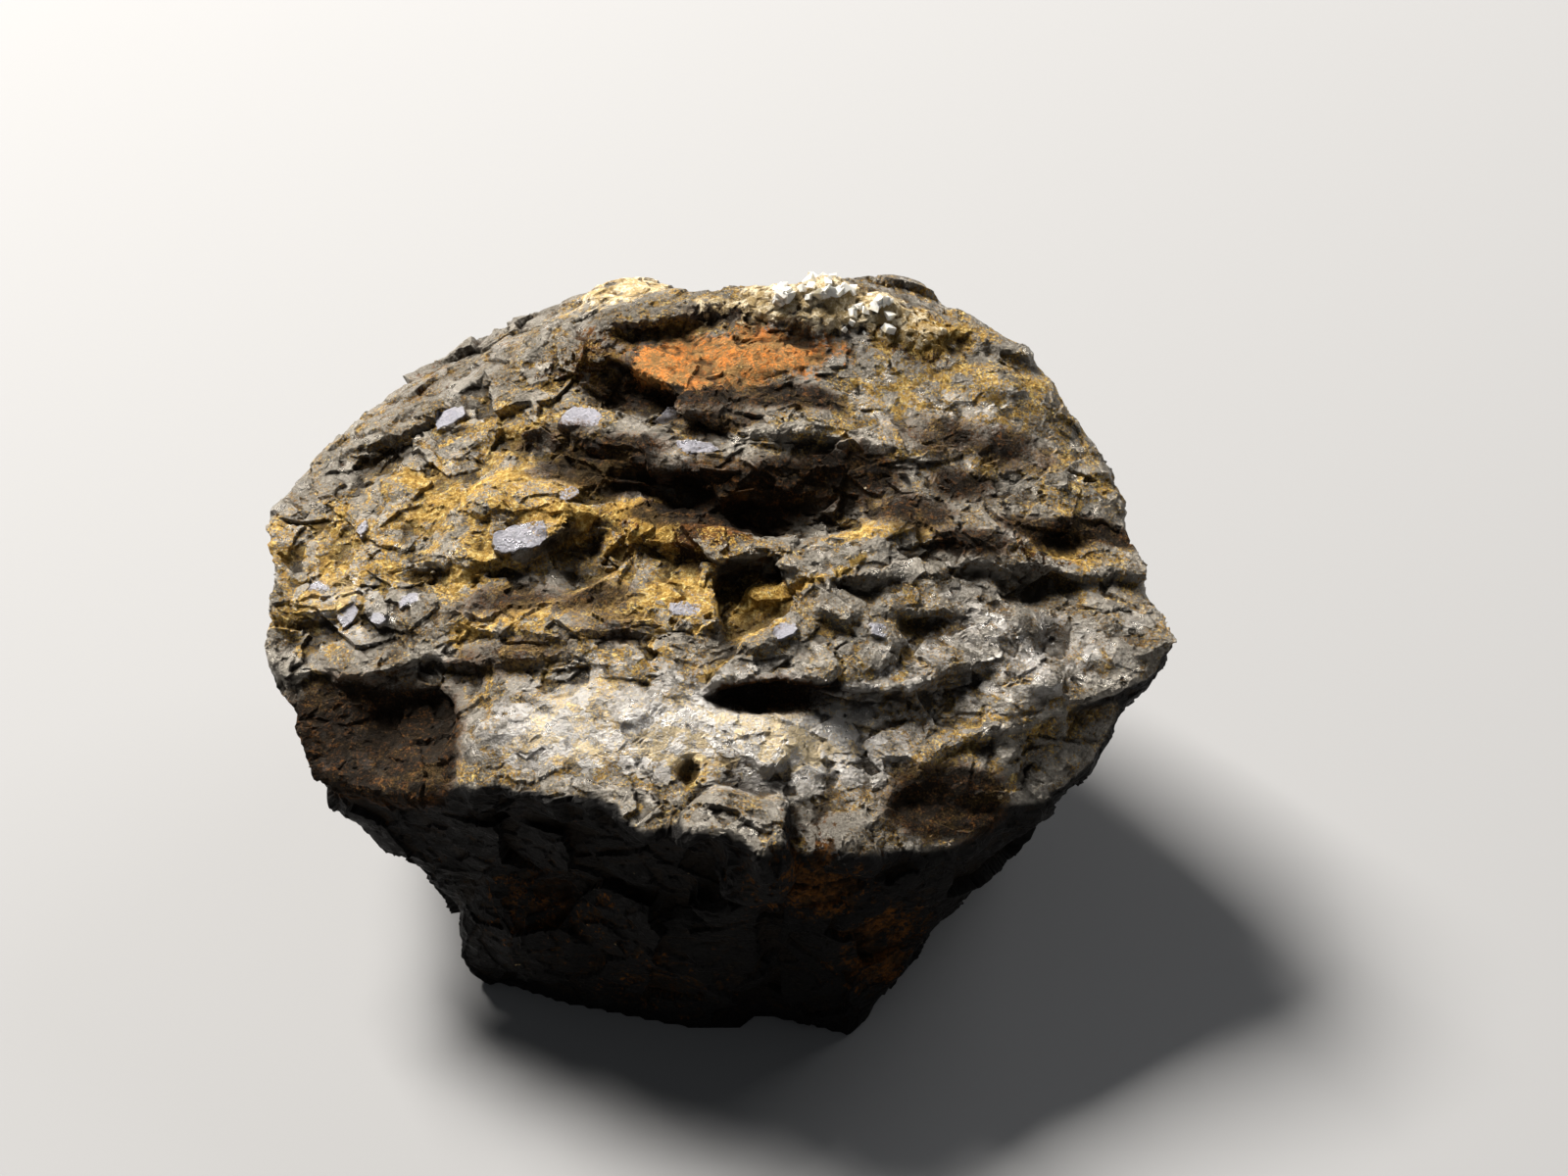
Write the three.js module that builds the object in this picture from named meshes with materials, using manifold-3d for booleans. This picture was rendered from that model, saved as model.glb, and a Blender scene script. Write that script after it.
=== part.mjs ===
// A broken lump of foliated magnetite, 58 mm wide, lying on its flat underside.
//
// The stone is one solid. Thin crystal sheets arch over it from left to right, and the broken top
// steps down across them in ledges towards the front. Rough fracture faces bound it on every other
// side. Hollows, pits, knobs and loose-looking scales are cut into it or grow from it.
//
// Millimetres, +Z up, the broken top faces -Y. The origin is under the middle, on the flat underside.
import * as THREE from "three";
import { ConvexGeometry } from "three/addons/geometries/ConvexGeometry.js";
import { ImprovedNoise } from "three/addons/math/ImprovedNoise.js";
import { mergeVertices } from "three/addons/utils/BufferGeometryUtils.js";
import Module from "manifold-3d";

const wasm = await Module();
wasm.setup();

// ---------------------------------------------------------------------------------------------
// Driving dimensions
// ---------------------------------------------------------------------------------------------

// The broken top lies between two outlines, each from left to right as x, y, z: its crest at the
// back and its rim at the front.
const CREST = [
  [-29.3, 0.4, 21.5], [-27.4, 3, 22.5], [-24.6, 3.8, 24], [-19.6, 4.4, 26], [-14.6, 6.9, 28.5],
  [-9.7, 7.1, 29.8], [-4.8, 8, 31.3], [0, 9.7, 32.3], [5, 9.8, 33], [10, 10.5, 32.5],
  [15.4, 9.6, 31], [20.4, 7.2, 28.5], [23.6, 4, 26.2], [25.8, -2.2, 23.3], [28.6, -8.2, 20.4],
];
const RIM = [
  [-28.8, -3.3, 21], [-26, -11, 18.5], [-23, -14.5, 17.5], [-18, -18.5, 17.2], [-13, -20, 19],
  [-8.6, -21, 19], [-4, -22.6, 18.5], [0.4, -23.4, 18], [5, -22, 17.5], [9.4, -22.5, 17],
  [14, -21.6, 16], [18.7, -17.8, 16.5], [21.8, -16.5, 17], [24.7, -13, 18], [28.6, -9, 19.6],
];
const BACK_SLOPE = 0.36; // how fast the stone falls away behind its crest

// Ledges: the broken front lips of the sheets, from the crest down, as x, y. Each ledge is broken
// into plates at the x values in breaks.
const LEDGES = [
  {
    lip: [
      [-19, 6.5], [-13, 7.5], [-7, 7], [1, 7.5], [9, 7], [15, 8], [19, 6.5],
    ],
    breaks: [-8, 3],
  },
  {
    lip: [
      [-28, 4], [-21, 3.5], [-17, 5], [-12, 6], [-8.5, 5.5], [-6, 4],
      [-3, 3], [4, 3.5], [10, 3.5], [16, 3.5], [23, 2],
    ],
    breaks: [-19, -9, -1, 8, 15],
  },
  {
    lip: [
      [-29, 1.5], [-21, 0.5], [-18, 2.5], [-13, 2.5], [-8.5, 1], [-6, 0],
      [-1, 1], [4, 0], [10, 0.5], [17, 0.5], [24, 0.5],
    ],
    breaks: [-22, -12, -4, 6, 13, 20],
  },
  {
    lip: [
      [-29, 0], [-24, 0.5], [-20, -1], [-16, -0.5], [-11, 0.5], [-7, 0],
      [-4.5, -2], [3, -1.5], [9, -1.5], [13, -2], [20, -0.5], [25, -1],
    ],
    breaks: [-25, -17, -8, 1, 10, 18],
  },
  {
    lip: [
      [-29, -2], [-24, -1.5], [-18, -3], [-14.5, -3], [-11, -5], [-6, -4.5],
      [1.5, -4], [4, -5], [10, -4.5], [16, -4], [20, -2], [26, -2],
    ],
    breaks: [-21, -13, -5, 4, 12, 19],
  },
  {
    lip: [
      [-29, -5], [-23, -5], [-18, -6.5], [-14.5, -8], [-11.5, -7], [-7, -5.5],
      [-2, -7], [2, -8], [7, -7], [12, -6], [20, -4], [27, -3.5],
    ],
    breaks: [-24, -16, -9, 0, 9, 16, 23],
  },
  {
    lip: [
      [-29, -8], [-23.5, -8], [-19, -9.5], [-13, -11.5], [-8, -12], [-2, -11],
      [0, -11.5], [5, -8.5], [12, -8], [17, -6.5], [28, -5.5],
    ],
    breaks: [-20, -14, -6, 5, 13, 20],
  },
  {
    lip: [
      [-28, -11], [-21, -11], [-17.5, -12], [-11, -13], [-5.5, -13.5], [-1, -14.5],
      [1.5, -14.5], [4, -12.5], [9, -10.5], [16, -9.5], [29, -8.5],
    ],
    breaks: [-23, -16, -8, 2, 10, 17, 23],
  },
  {
    lip: [
      [6, -16], [11, -14.5], [15, -13], [20, -11.5], [25, -11], [29, -10],
    ],
    breaks: [12, 18],
  },
  {
    lip: [
      [10, -18.5], [14, -17], [18, -15], [22, -14], [26, -12],
    ],
    breaks: [17],
  },
];
const PLATE = {
  column: 2.6, // about one facet's width along the lip
  rows: [0, 9], // how far behind the lip each row lies
  thickness: 2.4,
  undercut: 1.5,
  rise: 0.14, // how fast the tread climbs behind its lip
  overlap: 0.8,
  lift: [-0.1, 0.9],
  jag: 1.1,
  ripple: 0.2,
};

// The stone's body lies this far under the plates' lips, more in some places and less in others.
const BODY = { width: 64, length: 64, cell: 3.8, below: 1, swell: 0.8, floor: -12 };

// Patches of the broken top that are smooth rather than stepped: middle, reach, and how much of a
// rise buries the steps there.
const SMOOTH = [
  { at: [15, 3], reach: [9, 4.5], rise: 1.1 },
  { at: [-4, -18], reach: [13, 5], rise: 0.9 },
  { at: [4, 8], reach: [12, 2.5], rise: 0.9 },
  { at: [-15, 1], reach: [7, 2.4], rise: 0.7 },
];

// Fracture faces, each a plane through three points, with how rough it is. What lies outside it is
// broken away.
const FRACTURES = {
  front: { through: [[-4, -23.4, 18.5], [9.5, -23.2, 17], [3, -25.2, 0]], relief: 0.8 },
  frontLeft: { through: [[-13, -20.5, 19], [-4, -23.3, 18.5], [-10.5, -23.2, 0]], relief: 0.6 },
  frontCorner: { through: [[-18.4, -18.6, 17], [-13, -20.3, 19], [-15.4, -17.8, 2]], relief: 0.5 },
  leftFront: { through: [[-26.4, -12.6, 17], [-22.8, -15.9, 12.5], [-18.2, -17, 6]], relief: 0.6 },
  left: { through: [[-29.5, 0.4, 21.5], [-28, -8, 19], [-20.4, -2, 2]], relief: 0.7 },
  backLeft: { through: [[-29.4, 1, 21.2], [-20.8, 13, 22], [-16.5, 10, 0]], relief: 0.8 },
  crestLeft: { through: [[-24.8, 4.2, 24.4], [-4.8, 8.8, 32.2], [-14.5, 14.4, 26.2]], relief: 0.3 },
  back: { through: [[-12, 17, 22], [10, 16.5, 24], [0, 14, 0]], relief: 1.3 },
  crestBack: { through: [[0, 10.4, 33], [10, 11.2, 32.8], [3, 17, 27]], relief: 0.4 },
  crestRight: { through: [[21, 7.6, 28.4], [11.8, 12, 32.8], [16.2, 15.2, 22]], relief: 0.3 },
  backRight: { through: [[21.7, 6.8, 27.2], [13, 16, 24], [14, 10, 0]], relief: 1.1 },
  rightUpper: { through: [[27.8, -8.2, 20.4], [24.2, 4.2, 26], [18.4, 0.4, 2]], relief: 0.5 },
  rightUnder: { through: [[22, -16.8, 17], [27.6, -9.6, 19], [17, -8.6, 0]], relief: 0.7 },
  frontRight: { through: [[10, -22.8, 16.5], [19, -18.4, 14.5], [10.4, -22.6, 0]], relief: 0.7 },
};
const FRACTURE = { side: 96, depth: 40, cells: 21, coarse: 1.5, fine: 0.6 };

// Hollows broken out of the stone: middle, half sizes and turn about Z in degrees. A blocky hollow
// has straight walls.
const HOLLOWS = {
  squareNotch: { at: [2, -9.2, 24.4], half: [2.2, 2, 2.2], turn: 8, blocky: true },
  underBlock: { at: [3.6, -15.6, 20.9], half: [4.8, 1.4, 0.8], turn: -4 },
  leftRecess: { at: [-20.8, -15.8, 19], half: [5.4, 3.6, 2.4], turn: 16 },
  leftNotch: { at: [-21, -19.4, 8.6], half: [2.4, 3, 2.2], turn: 0 },
  frontScoop: { at: [-8.4, -24.6, 15.2], half: [9.5, 4.4, 3.4], turn: -12 },
  brownPocket: { at: [14.3, -21.4, 18.4], half: [5, 3.6, 3.2], turn: 25 },
  darkSlope: { at: [-11.6, -8, 24.5], half: [6.4, 2.5, 2.1], turn: 24 },
  crestHollow: { at: [-5.7, 3, 28.6], half: [3.8, 1.7, 1.1], turn: -20 },
  middleHollow: { at: [-5, -3, 26.2], half: [5, 1.9, 1.3], turn: 6 },
  middleHollowRight: { at: [4, -4.2, 25.6], half: [5.8, 1.6, 1.1], turn: -4 },
  rightHollow: { at: [19.8, -7.4, 21.8], half: [3.4, 1.2, 0.8], turn: -4 },
  rightBand: { at: [20.5, -3.8, 22.4], half: [4, 1.2, 0.7], turn: 8 },
  edgePit: { at: [-24, 3, 24.2], half: [0.9, 0.8, 0.8], turn: 0 },
  shelfPit: { at: [-1.8, -19.7, 19.6], half: [0.8, 0.7, 0.8], turn: 20 },
};

// Lumps that stand out of the stone: middle, half sizes and turn about Z in degrees.
const LUMPS = {
  lensBulge: { at: [-11.6, -2.4, 25.2], half: [4.4, 2, 1.3], turn: 4 },
  leftNub: { at: [-22.4, -13.8, 12.6], half: [2.6, 2.6, 2.4], turn: 0 },
  frontFang: { at: [0.8, -23.2, 14.4], half: [3.5, 2.9, 5.2], turn: 10, taper: 0.75 },
  frontFoot: { at: [-5.6, -18.4, 4], half: [11, 4.6, 7.2], turn: -15 },
  frontRubble: { at: [6.8, -21.8, 15.4], half: [3, 2.2, 2], turn: -8 },
  rubbleMiddle: { at: [7.6, -22.4, 11.8], half: [2.2, 1.8, 2.6], turn: 20 },
  rubbleLow: { at: [10.2, -20.4, 6.6], half: [2.2, 2, 3], turn: 30 },
  pocketLedge: { at: [12.6, -20.6, 13.4], half: [3.6, 1.8, 1.4], turn: 22 },
  backLump: { at: [-6.4, 13.2, 28.2], half: [3.5, 2.6, 2.2], turn: -10 },
  quartzLeft: { at: [3.6, 9.2, 32.3], half: [1.5, 1.1, 1], turn: 20 },
  quartzMiddle: { at: [6.6, 9.6, 32.4], half: [1.6, 1.2, 1], turn: -30 },
  quartzRight: { at: [9.6, 9, 31.8], half: [1.3, 1.1, 0.9], turn: 10 },
  plateauLump: { at: [16, -8.8, 20.8], half: [3.6, 2, 1.4], turn: -12 },
  rightLump: { at: [18.8, -12.2, 18.9], half: [3, 1.8, 1.2], turn: 14 },
};

// A flat block with straight edges that overhangs the shelf: its outline, and how far its top
// stands over the stone around it.
const BLOCK = {
  outline: [
    [-1, -15.2], [3.8, -11.2], [6.2, -8.7], [9.7, -10.6], [11.4, -11.6], [9.6, -13.8], [5.6, -15.4],
  ],
  thickness: 1.7,
  stand: 0.7,
};

// Scales: small flat flakes lying along the sheets, over the whole broken top.
const SCALES = { count: 30, smallest: 1.3, largest: 2.5, thickness: 0.7, sides: 5, tilt: 0.24 };

const SEED = 41;
const LOOKS = { color: 0x34322f, roughness: 0.5, metalness: 0.35 };

// ---------------------------------------------------------------------------------------------
// Helpers
// ---------------------------------------------------------------------------------------------

const perlin = new ImprovedNoise();

/** Smooth noise from -1 to 1, with features about `size` mm across, different for each `salt`. */
function rough(x, y, z, size, salt = 0) {
  const shift = salt * 7.31;
  return perlin.noise(x / size + shift, y / size - shift, z / size + 0.5 * shift);
}

/** A repeatable random number from `low` to `high`. */
let drawn = 0;
function random(low, high) {
  drawn += 1;
  return low + (high - low) * THREE.MathUtils.seededRandom(SEED * 1000 + drawn);
}

/** A closed three.js geometry as a solid that can be joined and cut. */
function solidOf(geometry) {
  const bare = geometry.clone();
  bare.deleteAttribute("normal");
  bare.deleteAttribute("uv");
  const merged = mergeVertices(bare, 1e-4);
  return new wasm.Manifold(
    new wasm.Mesh({
      numProp: 3,
      vertProperties: new Float32Array(merged.attributes.position.array),
      triVerts: new Uint32Array(merged.index.array),
    }),
  );
}

/** A solid as a three.js geometry. */
function geometryOf(solid) {
  const mesh = solid.getMesh();
  const geometry = new THREE.BufferGeometry();
  geometry.setAttribute("position", new THREE.BufferAttribute(mesh.vertProperties, 3));
  geometry.setIndex(new THREE.BufferAttribute(mesh.triVerts, 1));
  return geometry;
}

/** The largest connected surface of an indexed geometry, without crumbs or sealed pockets. */
function largestShell(geometry) {
  const index = geometry.index.array;
  const parent = Array.from({ length: geometry.attributes.position.count }, (_, vertex) => vertex);
  const rootOf = (vertex) => {
    while (parent[vertex] !== vertex) {
      parent[vertex] = parent[parent[vertex]];
      vertex = parent[vertex];
    }
    return vertex;
  };
  for (let i = 0; i < index.length; i += 3) {
    parent[rootOf(index[i])] = rootOf(index[i + 1]);
    parent[rootOf(index[i + 1])] = rootOf(index[i + 2]);
  }
  const sizes = new Map();
  index.forEach((vertex) => sizes.set(rootOf(vertex), (sizes.get(rootOf(vertex)) ?? 0) + 1));
  const [largest] = [...sizes].reduce((best, entry) => (entry[1] > best[1] ? entry : best));
  geometry.setIndex([...index].filter((vertex) => rootOf(vertex) === largest));
  return geometry;
}

/** Moves each vertex of a geometry to where `place(vertex)` puts it. */
function reshape(geometry, place) {
  const position = geometry.attributes.position;
  const vertex = new THREE.Vector3();
  for (let i = 0; i < position.count; i += 1) {
    vertex.fromBufferAttribute(position, i);
    place(vertex);
    position.setXYZ(i, vertex.x, vertex.y, vertex.z);
  }
  return geometry;
}

// ---------------------------------------------------------------------------------------------
// The stone's pieces
// ---------------------------------------------------------------------------------------------

/** A point of an outline at x, straight between the outline's own points. */
function along(outline, x) {
  const last = outline.length - 1;
  let next = outline.findIndex((point) => point[0] > x);
  if (next < 0) next = last;
  next = Math.max(next, 1);
  const [before, after] = [outline[next - 1], outline[next]];
  const share = THREE.MathUtils.clamp((x - before[0]) / (after[0] - before[0]), 0, 1);
  return before.map((value, axis) => THREE.MathUtils.lerp(value, after[axis], share));
}

/** The height of the broken top at x, y, before any ledge or hollow. */
function topAt(x, y) {
  const [, crestY, crestZ] = along(CREST, x);
  const [, rimY, rimZ] = along(RIM, x);
  if (y > crestY) return crestZ - BACK_SLOPE * (y - crestY);
  const run = Math.max(crestY - rimY, 6);
  return crestZ - ((crestZ - rimZ) * (crestY - y)) / run;
}

/** The body of the stone, whose top carries the ledges. */
function body() {
  const { width, length, cell, below, swell, floor } = BODY;
  const columns = Math.round(width / cell);
  const rows = Math.round(length / cell);
  const box = new THREE.BoxGeometry(width, length, 1, columns, rows, 1);
  return reshape(box, (v) => {
    if (v.z < 0) {
      v.z = floor;
      return;
    }
    let depth = below + swell * rough(v.x, v.y, 0, 5, 1);
    for (const { at, reach, rise } of SMOOTH) {
      const away = Math.hypot((v.x - at[0]) / reach[0], (v.y - at[1]) / reach[1]);
      depth -= rise * (1 - THREE.MathUtils.smoothstep(away, 0.7, 1.2));
    }
    v.z = topAt(v.x, v.y) - depth + 0.35 * rough(v.x, v.y, 0, 2.4, 2);
  });
}

/** One plate of a ledge, from x `from` to `to`, running back under the ledge above. */
function plate(ledge, from, to, salt) {
  const { column, rows, thickness, undercut, rise, overlap, lift, jag, ripple } = PLATE;
  const width = to - from + 2 * overlap;
  const columns = Math.max(2, Math.round(width / column));
  const box = new THREE.BoxGeometry(width, rows.length - 1, 1, columns, rows.length - 1, 1);
  const raised = random(...lift);
  const tilt = random(-0.05, 0.05);
  const skew = random(-0.35, 0.35);
  return reshape(box, (v) => {
    const behind = rows[Math.round(v.y + (rows.length - 1) / 2)];
    const onTop = v.z > 0;
    const fromMiddle = v.x;
    v.x += (from + to) / 2 + skew * behind;
    const teeth = rough(v.x, salt * 9, 0, 2.3, salt) + 0.7 * rough(v.x, salt * 9, 4, 1.2, salt);
    const lipY = along(ledge.lip, v.x)[1] + jag * teeth;
    v.y = lipY + behind + (onTop ? 0 : undercut);
    const tread = topAt(v.x, lipY) + rise * behind + tilt * fromMiddle;
    const beyondCrest = topAt(v.x, lipY + behind) + 0.6;
    v.z = Math.min(tread, beyondCrest) + raised + ripple * rough(v.x, v.y, salt, 2, 3);
    if (!onTop) v.z -= thickness;
  });
}

/** Every plate of a ledge. */
function plates(ledge, index) {
  const ends = [ledge.lip[0][0], ...ledge.breaks, ledge.lip[ledge.lip.length - 1][0]];
  return ends.slice(1).map((to, piece) => solidOf(plate(ledge, ends[piece], to, index * 10 + piece)));
}

/** What a fracture broke away: a big block whose inner face is the rough fracture. */
function fractureBlock({ through, relief }, salt) {
  const points = through.map((point) => new THREE.Vector3(...point));
  const plane = new THREE.Plane().setFromCoplanarPoints(...points);
  const inside = new THREE.Vector3(0, -3, 14);
  if (plane.distanceToPoint(inside) > 0) plane.negate();
  const middle = points[0].clone().add(points[1]).add(points[2]).divideScalar(3);
  const { side, depth, cells, coarse, fine } = FRACTURE;
  const block = new THREE.BoxGeometry(side, side, depth, cells, cells, 1);
  block.translate(0, 0, depth / 2);
  block.applyQuaternion(
    new THREE.Quaternion().setFromUnitVectors(new THREE.Vector3(0, 0, 1), plane.normal),
  );
  block.translate(middle.x, middle.y, middle.z);
  return reshape(block, (v) => {
    if (plane.distanceToPoint(v) > depth / 2) return;
    const scoop = 0.4 - 2 * Math.abs(rough(v.x, v.y, v.z, 9, salt));
    const bump = coarse * scoop + fine * rough(v.x, v.y, v.z, 3.4, salt);
    v.addScaledVector(plane.normal, relief * bump);
  });
}

/**
 * A rough body between a ball and a box, for a hollow or a lump. Small ones have fewer facets. A
 * taper narrows its lower half to that share less at the bottom.
 */
function roughBody({ at, half, turn, blocky = false, taper = 0 }, salt) {
  const ball = new THREE.IcosahedronGeometry(1, blocky || Math.max(...half) > 5 ? 2 : 1);
  const squareness = blocky ? 1 : 0.45;
  reshape(ball, (v) => {
    const box = Math.max(Math.abs(v.x), Math.abs(v.y), Math.abs(v.z));
    v.multiplyScalar(THREE.MathUtils.lerp(1, 1 / box, squareness));
    v.multiplyScalar(1 + 0.3 * rough(v.x, v.y, v.z, 0.7, salt));
    const narrow = 1 - taper * Math.max(-v.z, 0);
    v.x *= narrow;
    v.y *= narrow;
    v.set(v.x * half[0], v.y * half[1], v.z * half[2]);
  });
  ball.rotateZ(THREE.MathUtils.degToRad(turn));
  return ball.translate(...at);
}

/** The straight-edged block over the shelf. */
function overhangingBlock() {
  const points = BLOCK.outline.flatMap(([x, y]) => {
    const top = topAt(x, y) + BLOCK.stand;
    return [new THREE.Vector3(x, y, top), new THREE.Vector3(x, y + 0.5, top - BLOCK.thickness)];
  });
  return new ConvexGeometry(points);
}

/** One flat flake of an uneven many-sided outline, lying level at the origin. */
function flake() {
  const radius = random(SCALES.smallest, SCALES.largest);
  const outline = new THREE.Shape();
  for (let side = 0; side < SCALES.sides; side += 1) {
    const angle = ((side + random(-0.3, 0.3)) / SCALES.sides) * 2 * Math.PI;
    const reach = radius * random(0.7, 1);
    const x = reach * Math.cos(angle);
    const y = 0.7 * reach * Math.sin(angle);
    if (side === 0) outline.moveTo(x, y);
    else outline.lineTo(x, y);
  }
  const plate = new THREE.ExtrudeGeometry(outline, { depth: SCALES.thickness, bevelEnabled: false });
  return plate.translate(0, 0, -SCALES.thickness * 0.45);
}

/** All the flakes, set into the broken top along the sheets and joined to one another. */
function scales(stone) {
  const bothSides = new THREE.MeshBasicMaterial({ side: THREE.DoubleSide });
  const target = new THREE.Mesh(geometryOf(stone), bothSides);
  const down = new THREE.Vector3(0, 0, -1);
  const ray = new THREE.Raycaster();
  const flakes = [];
  while (flakes.length < SCALES.count) {
    const x = random(-28, 28);
    const y = random(-22, 7);
    ray.set(new THREE.Vector3(x, y, 60), down);
    const hit = ray.intersectObject(target)[0];
    const onTop = y < along(CREST, x)[1] && y > along(RIM, x)[1] + SCALES.largest;
    if (!hit || !onTop) continue;
    const slope = Math.atan((topAt(x + 1, y) - topAt(x - 1, y)) / 2);
    const scale = flake();
    scale.rotateZ(random(-0.5, 0.5));
    scale.rotateX(0.12 + random(-1, 1) * SCALES.tilt);
    scale.rotateY(-0.6 * slope + random(-1, 1) * SCALES.tilt);
    scale.translate(x, y, hit.point.z);
    flakes.push(solidOf(scale));
  }
  return flakes.reduce((all, one) => all.add(one));
}

// ---------------------------------------------------------------------------------------------
// The stone
// ---------------------------------------------------------------------------------------------

/** The whole stone as one solid, in the frame of the driving dimensions. */
function buildStone() {
  const sheets = [solidOf(body()), ...LEDGES.flatMap(plates), solidOf(overhangingBlock())];
  let stone = sheets.reduce((all, one) => all.add(one));
  Object.values(FRACTURES).forEach((fracture, index) => {
    stone = stone.subtract(solidOf(fractureBlock(fracture, index + 1)));
  });
  Object.values(LUMPS).forEach((lump, index) => {
    stone = stone.add(solidOf(roughBody(lump, index + 30)));
  });
  Object.values(HOLLOWS).forEach((hollow, index) => {
    stone = stone.subtract(solidOf(roughBody(hollow, index + 60)));
  });
  stone = stone.add(scales(stone));
  const ground = new THREE.BoxGeometry(120, 120, 60).translate(0, 0, -30);
  return stone.subtract(solidOf(ground));
}

const facets = largestShell(geometryOf(buildStone())).toNonIndexed();
facets.computeVertexNormals();
const stone = new THREE.Mesh(facets, new THREE.MeshStandardMaterial(LOOKS));
stone.name = "magnetite_stone";

const bounds = new THREE.Box3().setFromBufferAttribute(stone.geometry.attributes.position);
const middle = bounds.getCenter(new THREE.Vector3());
stone.position.set(-middle.x, -middle.y, -bounds.min.z);

const specimen = new THREE.Group();
specimen.add(stone);

export default specimen;
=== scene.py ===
"""The looks of a broken lump of foliated magnetite.

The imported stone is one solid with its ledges, hollows and larger flakes. This script copies it and
gives the copy the fine relief of broken crystal sheets, sets pale quartz grains in its crest, and
dresses it all in magnetite, limonite dust, rust and quartz.
"""
import itertools
import logging
import math
from dataclasses import dataclass
from enum import Enum

import bmesh
import bpy
import numpy as np
from mathutils import Matrix, Vector


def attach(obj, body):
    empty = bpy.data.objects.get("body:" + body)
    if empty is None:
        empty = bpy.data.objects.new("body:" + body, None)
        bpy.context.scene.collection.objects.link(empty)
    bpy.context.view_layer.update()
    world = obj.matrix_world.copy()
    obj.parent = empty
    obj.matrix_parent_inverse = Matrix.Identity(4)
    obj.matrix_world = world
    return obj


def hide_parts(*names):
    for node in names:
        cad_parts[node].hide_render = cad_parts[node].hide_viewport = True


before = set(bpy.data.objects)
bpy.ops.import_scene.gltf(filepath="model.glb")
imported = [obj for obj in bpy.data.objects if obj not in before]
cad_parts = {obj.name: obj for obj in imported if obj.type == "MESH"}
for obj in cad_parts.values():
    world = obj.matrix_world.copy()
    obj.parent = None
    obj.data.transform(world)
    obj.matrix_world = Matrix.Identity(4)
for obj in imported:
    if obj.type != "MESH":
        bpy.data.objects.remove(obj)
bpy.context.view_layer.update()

logging.basicConfig(level=logging.INFO, format="%(message)s")
log = logging.getLogger("magnetite")

MM = 0.001
NODE = "magnetite_stone"
# Places on the stone are given in millimetres in its drawing frame. Its origin lies here in the
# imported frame.
DRAWING_ORIGIN = np.array([0.72, 4.12, 0.0])
# Turns the noise's grid away from the axes.
NOISE_TURN = np.array([[0.80, 0.36, -0.48], [-0.60, 0.48, -0.64], [0.0, 0.80, 0.60]], np.float32)
# Fractal noise adds so many noises, each half the size of the last, and reaches about this far.
OCTAVES = 3
OCTAVE_REACH = 1.6
# Which ways the five sides of a plate face, in radians, before each is turned a little.
PLATE_SIDES = (0.0, 1.1, 2.4, 3.5, 4.9)
FLAKE_SIDES = 7
# The surface keeps its place under this band of heights and moves freely over it, in millimetres.
FLOOR_BAND = (0.15, 1.2)


class Mineral(Enum):
    """What is painted on the stone's surface, by the attribute channel that carries it."""

    OCHRE = ("stains", 0)
    RUST = ("stains", 1)
    RED = ("stains", 2)
    PALE = ("faces", 0)
    CLEAN = ("faces", 1)
    BROWN_SHADE = ("faces", 2)
    # Where the surface is lit or takes painted shade, and how deep its crevices and hollows lie.
    LIT_TOP = ("shape", 0)
    CREVICE = ("shape", 1)
    HOLLOW_SHADE = ("shape", 2)
    FLAKE = ("flake", 0)
    CHIP = ("flake", 1)
    GRAIN = ("flake", 2)
    POLISH = ("polish", 0)


class Tone(Enum):
    """The stone's colours, in linear light."""

    MAGNETITE_DARK = (0.062, 0.051, 0.036)
    MAGNETITE = (0.30, 0.275, 0.235)
    MAGNETITE_BRIGHT = (0.58, 0.56, 0.54)
    POLISHED = (0.40, 0.40, 0.46)
    # Near black painted shade for the flanks, the front and the risers that face away from the
    # light.
    FLANK_SHADE = (0.0046, 0.0037, 0.0030)
    # Dark brown painted shade in crevices.
    CREVICE = (0.018, 0.011, 0.005)
    # Near black painted shade in large hollows and in the dark brown patches.
    HOLLOW_SHADE = (0.009, 0.0055, 0.0022)
    OCHRE = (0.43, 0.25, 0.045)
    OCHRE_PALE = (0.92, 0.72, 0.28)
    SOIL = (0.15, 0.075, 0.016)
    RUST = (0.19, 0.070, 0.011)
    RUST_DARK = (0.040, 0.020, 0.006)
    RED = (0.72, 0.24, 0.045)
    RED_BROWN = (0.30, 0.17, 0.060)
    CREAM = (0.86, 0.74, 0.52)
    OLIVE = (0.28, 0.195, 0.080)
    TAN = (0.46, 0.33, 0.155)
    QUARTZ = (0.94, 0.91, 0.83)


def each(kind: type, *rows: tuple) -> tuple:
    """One `kind` for each row, which holds its fields in order."""
    return tuple(kind(*row) for row in rows)


# --- Sums over many places at once ---


def dot(first: np.ndarray, second: np.ndarray) -> np.ndarray:
    """The dot product of each pair of rows."""
    return np.einsum("ij,ij->i", first, second)


def unit(vectors: np.ndarray, least: float = 1e-6) -> np.ndarray:
    """Each row brought to length one, unless it is shorter than `least`."""
    return vectors / np.maximum(np.linalg.norm(vectors, axis=1, keepdims=True), least)


def ramp(values: np.ndarray, low: float, high: float) -> np.ndarray:
    """A smooth climb from 0 at `low` to 1 at `high`."""
    share = np.clip((values - low) / (high - low), 0, 1)
    return share * share * (3 - 2 * share)


def strongest(patches: tuple["Patch", ...], points: np.ndarray, gain: float = 1.0) -> np.ndarray:
    """The most that any of several patches gives at each place, from 0 to 1."""
    return np.clip(gain * np.max([patch.weight(points) for patch in patches], axis=0), 0, 1)


# --- Repeatable randomness over space ---


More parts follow.
